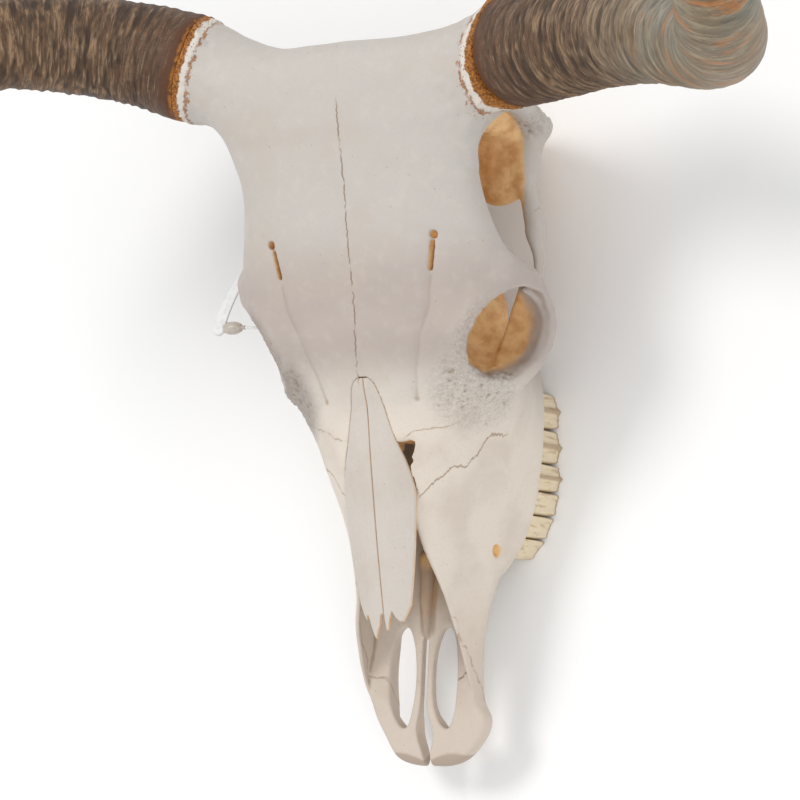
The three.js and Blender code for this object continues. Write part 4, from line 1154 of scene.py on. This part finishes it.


# %% [markdown]
# ## Dry bone
# Old bone is not white: the forehead is a cool grey cream, the face warmer, the nose end pinkish, and
# sheltered hollows keep an orange-brown stain of dried tissue. Fine pores and dark specks sit where
# muscle or horn held on. Sutures are drawn as fine brown broken lines that wobble. Painted shade
# darkens the brows, the recesses, the nose tip's front facets and the vomer.

# %% Bone finish
def bone_finish(name):
    f = Finish(name)
    here, x, y, z = f.place()
    ax = abs(x)
    stain, rough, rim = f.attribute("stain"), f.attribute("rough"), f.attribute("rim")
    tone, tip, hollow = f.attribute("tone"), f.attribute("tip"), f.attribute("hollow")
    seam, front = f.attribute("seam"), f.attribute("front")
    broad, mid = f.noise(here, 42, 3), f.noise(here, 9, 4)
    fine = f.noise(here, 1.6, 4, 0.65)
    # painted shade: a darker band across the brows, where the forehead drops towards the eyes
    brow = y.rise(262, 292) * (1 - y.rise(330, 380))
    colour = f.over(tone, tint(193, 187, 181), tint(222, 211, 198))
    colour = f.over(tip, colour, tint(206, 192, 178))
    colour = f.over(brow * 0.85, colour, tint(178, 165, 158))
    colour = f.over(broad.rise(0.42, 0.7) * 0.4, colour, tint(192, 178, 164))
    colour = f.over(mid.rise(0.46, 0.8) * 0.16, colour, tint(221, 214, 204))
    colour = f.over(fine.rise(0.5, 0.78) * 0.3, colour, tint(178, 163, 147))
    grit = f.noise(here, 2.6, 4, 0.7)
    colour = f.over(rough * grit.rise(0.42, 0.66) * 0.4, colour, tint(214, 206, 196))
    colour = f.over(rough * (1 - grit.rise(0.34, 0.5)) * 0.28, colour, tint(158, 144, 130))
    colour = f.over(rough * (1 - x.rise(-60, -20)) * 0.65, colour, tint(150, 140, 132))
    # painted shade: the bone darkens grey-brown in its recesses, by each point's hollow depth
    colour = f.over(hollow.rise(0.1, 0.8) * 0.6, colour, tint(146, 120, 92))
    # painted shade: the nose tip's front facets and the vomer are darker grey-brown
    colour = f.over(front * 0.8, colour, tint(168, 150, 134))
    pores = (1 - f.cells(here, 1.9).rise(0.14, 0.34)) * rough
    colour = f.over(pores * grit.rise(0.4, 0.6) * 0.4, colour, tint(146, 120, 94))
    specks = (1 - f.cells(here, 7.5).rise(0.04, 0.085)) * f.noise(here, 30, 1).rise(0.5, 0.6)
    colour = f.over(specks * 0.5, colour, tint(120, 90, 64))
    dirt = f.noise(here, 13, 4, 0.6)
    brown = f.over(dirt.rise(0.38, 0.7), tint(238, 194, 134), tint(208, 152, 92))
    colour = f.over((stain * (0.55 + dirt)).rise(0.1, 0.85) * 0.92, colour, brown)
    crust = f.noise(here, 4.2, 3, 0.6)
    amber = f.over(fine.rise(0.4, 0.6), tint(176, 114, 44), tint(112, 66, 26))
    uneven = rim + (crust - 0.5) * 0.55
    colour = f.over(uneven.rise(0.2, 0.5) * 0.75, colour, tint(222, 214, 204))
    band = uneven.rise(0.13, 0.2) * (1 - uneven.rise(0.26, 0.36)) * f.noise(here, 11, 2).rise(0.36, 0.5)
    colour = f.over(uneven.rise(0.66, 0.8).most(band * 0.8), colour, amber)
    drops = (1 - f.cells(here, 2.6).rise(0.14, 0.24)) * rim.rise(0.005, 0.1) * crust.rise(0.44, 0.54)
    colour = f.over(drops, colour, tint(134, 82, 42))
    wobble = (f.noise(f.stretch(here, (0, 1, 0)), 6.5, 3, 0.7) - 0.5) * 5
    middle = x + 3.4 - 3.7 * y.rise(270, 306) + 1.8 * y.rise(394, 456) + wobble
    broken = f.noise(here, 11, 2).rise(0.36, 0.5)
    upper = z.rise(120, 132)
    sagittal = middle.line(0.75) * y.rise(262, 274) * (1 - y.rise(455, 470)) * upper * broken
    colour = f.over(sagittal * 0.75, colour, tint(128, 98, 72))
    weep = f.noise(f.stretch(here, (1, 0, 1)), 7, 3, 0.7) - 0.5
    tear = f.node("ShaderNodeFloatCurve", None, {1: ax / 100})
    points = [(0.185, 0.182), (0.31, 0.189), (0.393, 0.1978), (0.493, 0.2081), (0.578, 0.2116),
              (0.653, 0.2213), (0.713, 0.2316), (0.938, 0.233)]
    curve_map = tear.socket.node.mapping
    curve_map.curves[0].points[0].location = points[0]
    curve_map.curves[0].points[1].location = points[-1]
    for point in points[1:-1]:
        curve_map.curves[0].points.new(*point)
    curve_map.update()
    lower = (y - tear * 1000 + weep * 9).line(0.9) * ax.rise(29, 31) * (1 - ax.rise(92, 96)) * z.rise(82, 90)
    colour = f.over(lower * 0.62, colour, tint(140, 106, 74))
    cracked = seam.rise(0.25, 0.9) * broken * (1 - stain * 0.5)
    colour = f.over(cracked * 0.5, colour, tint(150, 116, 82))
    spread = (1 - fine) * 0.16 + 0.5
    normal = f.bump(fine, 0.35, 0.0004)
    normal = f.bump(grit * rough, 0.8, 0.0016, normal)
    normal = f.bump(pores * -1, 0.6, 0.0005, normal)
    normal = f.bump((sagittal + lower) * -1, 0.5, 0.0004, normal)
    return f.surface(colour, spread, normal, **{"Specular IOR Level": 0.35})


def hollows(thing, rounds=14):
    """How far each point lies below its smoothed surroundings, in mm."""
    mesh = thing.data
    count = len(mesh.vertices)
    points = np.empty(count * 3, np.float32)
    mesh.vertices.foreach_get("co", points)
    normals = np.empty(count * 3, np.float32)
    mesh.vertices.foreach_get("normal", normals)
    edges = np.empty(len(mesh.edges) * 2, np.int32)
    mesh.edges.foreach_get("vertices", edges)
    a, b = edges.reshape(-1, 2).T
    points, normals = points.reshape(-1, 3) * 1000, normals.reshape(-1, 3)
    near = np.bincount(a, minlength=count) + np.bincount(b, minlength=count)
    soft = points.astype(float)
    for _ in range(rounds):
        total = [np.bincount(a, soft[b, i], count) + np.bincount(b, soft[a, i], count) for i in range(3)]
        soft = soft * 0.3 + 0.7 * np.stack(total, 1) / np.maximum(near, 1)[:, None]
    return ((soft - points) * normals).sum(1)


# Keeps each point's hollow depth, which the finishes use for painted shade in recesses.
def mark_recess_shade(thing, rounds=14):
    layer = thing.data.attributes.get("hollow") or thing.data.attributes.new("hollow", "FLOAT", "POINT")
    layer.data.foreach_set("value", hollows(thing, rounds).astype(np.float32))


dry_bone = bone_finish("dry_bone")
for name, thing in bones.items():
    mark_recess_shade(thing)
BONE_SLOTS = {"frontal": "forehead_bone", "occipital": "forehead_bone", "temporal": "forehead_bone",
              "zygomatic": "forehead_bone", "braincase": "inner_bone", "maxilla": "face_bone",
              "premaxilla": "nose_tip_bone"}
for name, thing in bones.items():
    dress(thing, dry_bone, BONE_SLOTS[name.split("_")[0]], name)
for side, thing in leaves.items():
    dress(thing, dry_bone, "face_bone", "nasal_" + side)
print("dressed", len(bones) + len(leaves), "bones")

# %% [markdown]
# ## Tooth
# Teeth are cream where the outer cement is worn, with brown stain streaked down them and a dark gum
# line; painted shade darkens the folds between their ribs. The finish follows height for the gum line,
# noise drawn out upright for the stain and each point's hollow depth for the painted shade.

# %% Tooth finish
f = Finish("old_tooth")
here, x, y, z = f.place()
upright = f.noise(f.stretch(here, (1, 1, 0.18)), 3.4, 4, 0.65)
cloud = f.noise(here, 7, 3)
colour = f.over(cloud, tint(232, 218, 192), tint(222, 202, 166))
colour = f.over(upright.rise(0.52, 0.66) * 0.5, colour, tint(160, 124, 80))
colour = f.over(z.rise(24, 36) * cloud.rise(0.3, 0.6) * 0.4, colour, tint(176, 142, 98))
# painted shade: the folds between the ribs darken brown, by each point's hollow depth
colour = f.over(f.attribute("hollow").rise(0.3, 1.4) * 0.5, colour, tint(140, 102, 62))
old_tooth = f.surface(colour, 0.36 + cloud * 0.2, f.bump(upright, 0.4, 0.0006),
                      **{"Specular IOR Level": 0.45})
for side, thing in teeth.items():
    mark_recess_shade(thing, 8)
    dress(thing, old_tooth, "face_bone")

# %% [markdown]
# ## Horn
# Near the skull a horn is dark brown and rough as bark, with an amber rim where the sheath ends.
# Further out it is worn smooth and grows grey-green, with orange rings where the layers show. All of
# this is read from each point's place on the unrolled horn. Painted shade darkens the furrows of the
# rings and bark, by each point's depth.

# %% Horn finish
def horn_finish(name, dark):
    f = Finish(name)
    wrap = f.attribute("wrap", 1)
    low = f.attribute("low")
    u, v, s = f.split(wrap)
    rings = f.noise(f.stretch(wrap, (0.16, 0.16, 1)), 4.2, 5, 0.62, 0.5)
    thin = f.noise(f.stretch(wrap, (0.1, 0.1, 1)), 1.7, 4, 0.6, 0.3)
    bark = f.noise(f.stretch(wrap, (0.28, 0.28, 1)), 2.4, 5, 0.72, 0.7)
    broad = f.noise(f.stretch(wrap, (0.5, 0.5, 0.35)), 26, 3)
    grainy = f.noise(f.stretch(wrap, (1, 1, 0.05)), 0.85, 3, 0.6)
    near = 1 - s.rise(16, 70)
    far = s.rise(150 if dark else 90, 330 if dark else 260)
    base = f.over(broad.rise(0.3, 0.7), tint(86, 62, 43), tint(118, 88, 62))
    base = f.over(rings.rise(0.46, 0.62), base, tint(150, 120, 90))
    base = f.over(near * 0.7, base, tint(92, 62, 44))
    grey = f.over(broad.rise(0.38, 0.62), tint(128, 109, 84), tint(114, 112, 100))
    grey = f.over(rings.rise(0.45, 0.66) * 0.7, grey, tint(164, 150, 124))
    rust = f.noise(f.stretch(wrap, (0.3, 0.3, 1)), 13, 4, 0.6, 0.4)
    grey = f.over(rust.rise(0.53, 0.66) * s.rise(170, 300) * 0.85, grey, tint(176, 112, 52))
    colour = f.over(far, base, grey)
    colour = f.over((1 - bark.rise(0.36, 0.56)) * (1 - far * 0.65) * 0.62, colour, tint(52, 40, 31))
    colour = f.over(thin.rise(0.55, 0.7) * 0.4, colour, tint(186, 168, 140))
    colour = f.over((1 - thin.rise(0.3, 0.47)) * 0.5, colour, tint(62, 50, 40))
    # painted shade: the furrows of the rings and bark are darkened, less so far out
    colour = f.over(low.rise(0.45, 0.95) * (1 - far * 0.4) * 0.7, colour, tint(44, 31, 22))
    colour = f.over(grainy.rise(0.5, 0.62) * near * 0.45, colour, tint(70, 48, 36))
    edge = f.noise(f.stretch(wrap, (1, 1, 0)), 7, 3) * 5 + s
    amber = f.over(bark.rise(0.4, 0.6), tint(184, 118, 42), tint(104, 60, 24))
    colour = f.over(1 - edge.rise(8, 13), colour, tint(88, 54, 32))
    colour = f.over(1 - edge.rise(3.4, 5.6), colour, amber)
    colour = f.over(s.rise(560, 640), colour, tint(70, 62, 56))
    gloss = 0.62 - far * 0.16 + (bark - 0.5) * 0.3
    normal = f.bump(rings * 0.6 + bark * (1 - far * 0.7), 0.6, 0.0012)
    normal = f.bump(thin, 0.3, 0.0006, normal)
    return f.surface(colour, gloss, normal, **{"Specular IOR Level": 0.4})


dress(horns["left"], horn_finish("grey_horn", False), "horn", "horn_left")
dress(horns["right"], horn_finish("dark_horn", True), "horn", "horn_right")

# %% [markdown]
# ## Seal plastic
# The strap and tail are white polypropylene, faintly yellowed and scuffed. The barrel is clearer and
# greyer. Both have the soft shine of a moulding.

# %% Seal finish
def plastic_finish(name, pale, dirty, shine):
    f = Finish(name)
    here, x, y, z = f.place()
    dust, scuff = f.noise(here, 5, 4, 0.6), f.noise(here, 0.7, 3, 0.6)
    colour = f.over(dust.rise(0.45, 0.75) * 0.6, pale, dirty)
    return f.surface(colour, shine + scuff * 0.2, f.bump(scuff, 0.25, 0.0002), **{"Specular IOR Level": 0.5})


white_plastic = plastic_finish("seal_white", tint(226, 227, 227), tint(200, 196, 188), 0.3)
dress(strap, white_plastic, "seal_plastic", "seal_bow")
dress(boss, white_plastic, "seal_plastic")
dress(tail, white_plastic, "seal_plastic", "seal_tail")
dress(barrel, plastic_finish("seal_clear", tint(192, 182, 172), tint(168, 156, 144), 0.22),
      "seal_barrel", "seal_barrel")

# %% [markdown]
# ## Floor, light and camera
# The skull lies on a plain white floor and is seen from high in front of it and a little to its
# left. A bright even sky keeps shadows pale, a broad lamp behind its right side models the bone, and a
# weaker one in front of its left side opens up the eye and the hollow of the temple.

# %% Stage
FLOOR_SIZE = 9.0
mesh = bpy.data.meshes.new("floor")
h = FLOOR_SIZE / 2
mesh.from_pydata([(-h, -h, 0), (h, -h, 0), (h, h, 0), (-h, h, 0)], [], [(0, 1, 2, 3)])
floor = bpy.data.objects.new("floor", mesh)
bpy.context.collection.objects.link(floor)
f = Finish("floor_paint")
here, *_ = f.place()
cloud = f.noise(here, 700, 2)
floor.data.materials.append(f.surface(f.over(cloud, tint(247, 247, 247), tint(250, 250, 250)),
                                      0.85 + cloud * 0.1, **{"Specular IOR Level": 0.1}))

world = bpy.data.worlds.new("sky")
world.use_nodes = True
world.node_tree.nodes["Background"].inputs["Color"].default_value = (0.98, 0.99, 1.0, 1)
world.node_tree.nodes["Background"].inputs["Strength"].default_value = 0.75
bpy.context.scene.world = world


def lamp(name, place, target, size, power, colour=(1, 1, 1)):
    data = bpy.data.lights.new(name, "AREA")
    data.shape, data.size, data.energy, data.color = "DISK", size, power, colour
    thing = bpy.data.objects.new(name, data)
    thing.location = place
    thing.rotation_euler = (Vector(target) - Vector(place)).to_track_quat("-Z", "Y").to_euler()
    bpy.context.collection.objects.link(thing)


lamp("key", (-1.3, 1.3, 3.4), (0, 0, 0.1), 1.3, 50, (1.0, 0.985, 0.96))
lamp("fill", (1.6, -1.2, 2.2), (0.1, -0.1, 0.1), 1.6, 15, (1.0, 0.99, 0.975))

YAW, PITCH, ROLL = math.radians(29.2), math.radians(6.9), math.radians(-1.4)
DISTANCE, AIM, LENS = 2350, (0.7, 261.0, 107.0), 145.4
back = Vector((math.sin(YAW) * math.cos(PITCH), -math.sin(PITCH), math.cos(YAW) * math.cos(PITCH)))
up = (Vector((0, 1, 0)) - back.y * back).normalized()
right = up.cross(back)
right, up = math.cos(ROLL) * right - math.sin(ROLL) * up, math.cos(ROLL) * up + math.sin(ROLL) * right
data = bpy.data.cameras.new("camera")
data.lens, data.sensor_width = LENS, 36
data.clip_end = 50
camera = bpy.data.objects.new("camera", data)
turned = Matrix((right, up, back)).transposed().to_4x4()
turned.translation = Vector(to_frame(Vector(AIM) + DISTANCE * back))
camera.matrix_world = turned
bpy.context.collection.objects.link(camera)
bpy.context.scene.camera = camera
bpy.context.scene.view_settings.view_transform = "Standard"
bpy.context.scene.view_settings.look = "None"
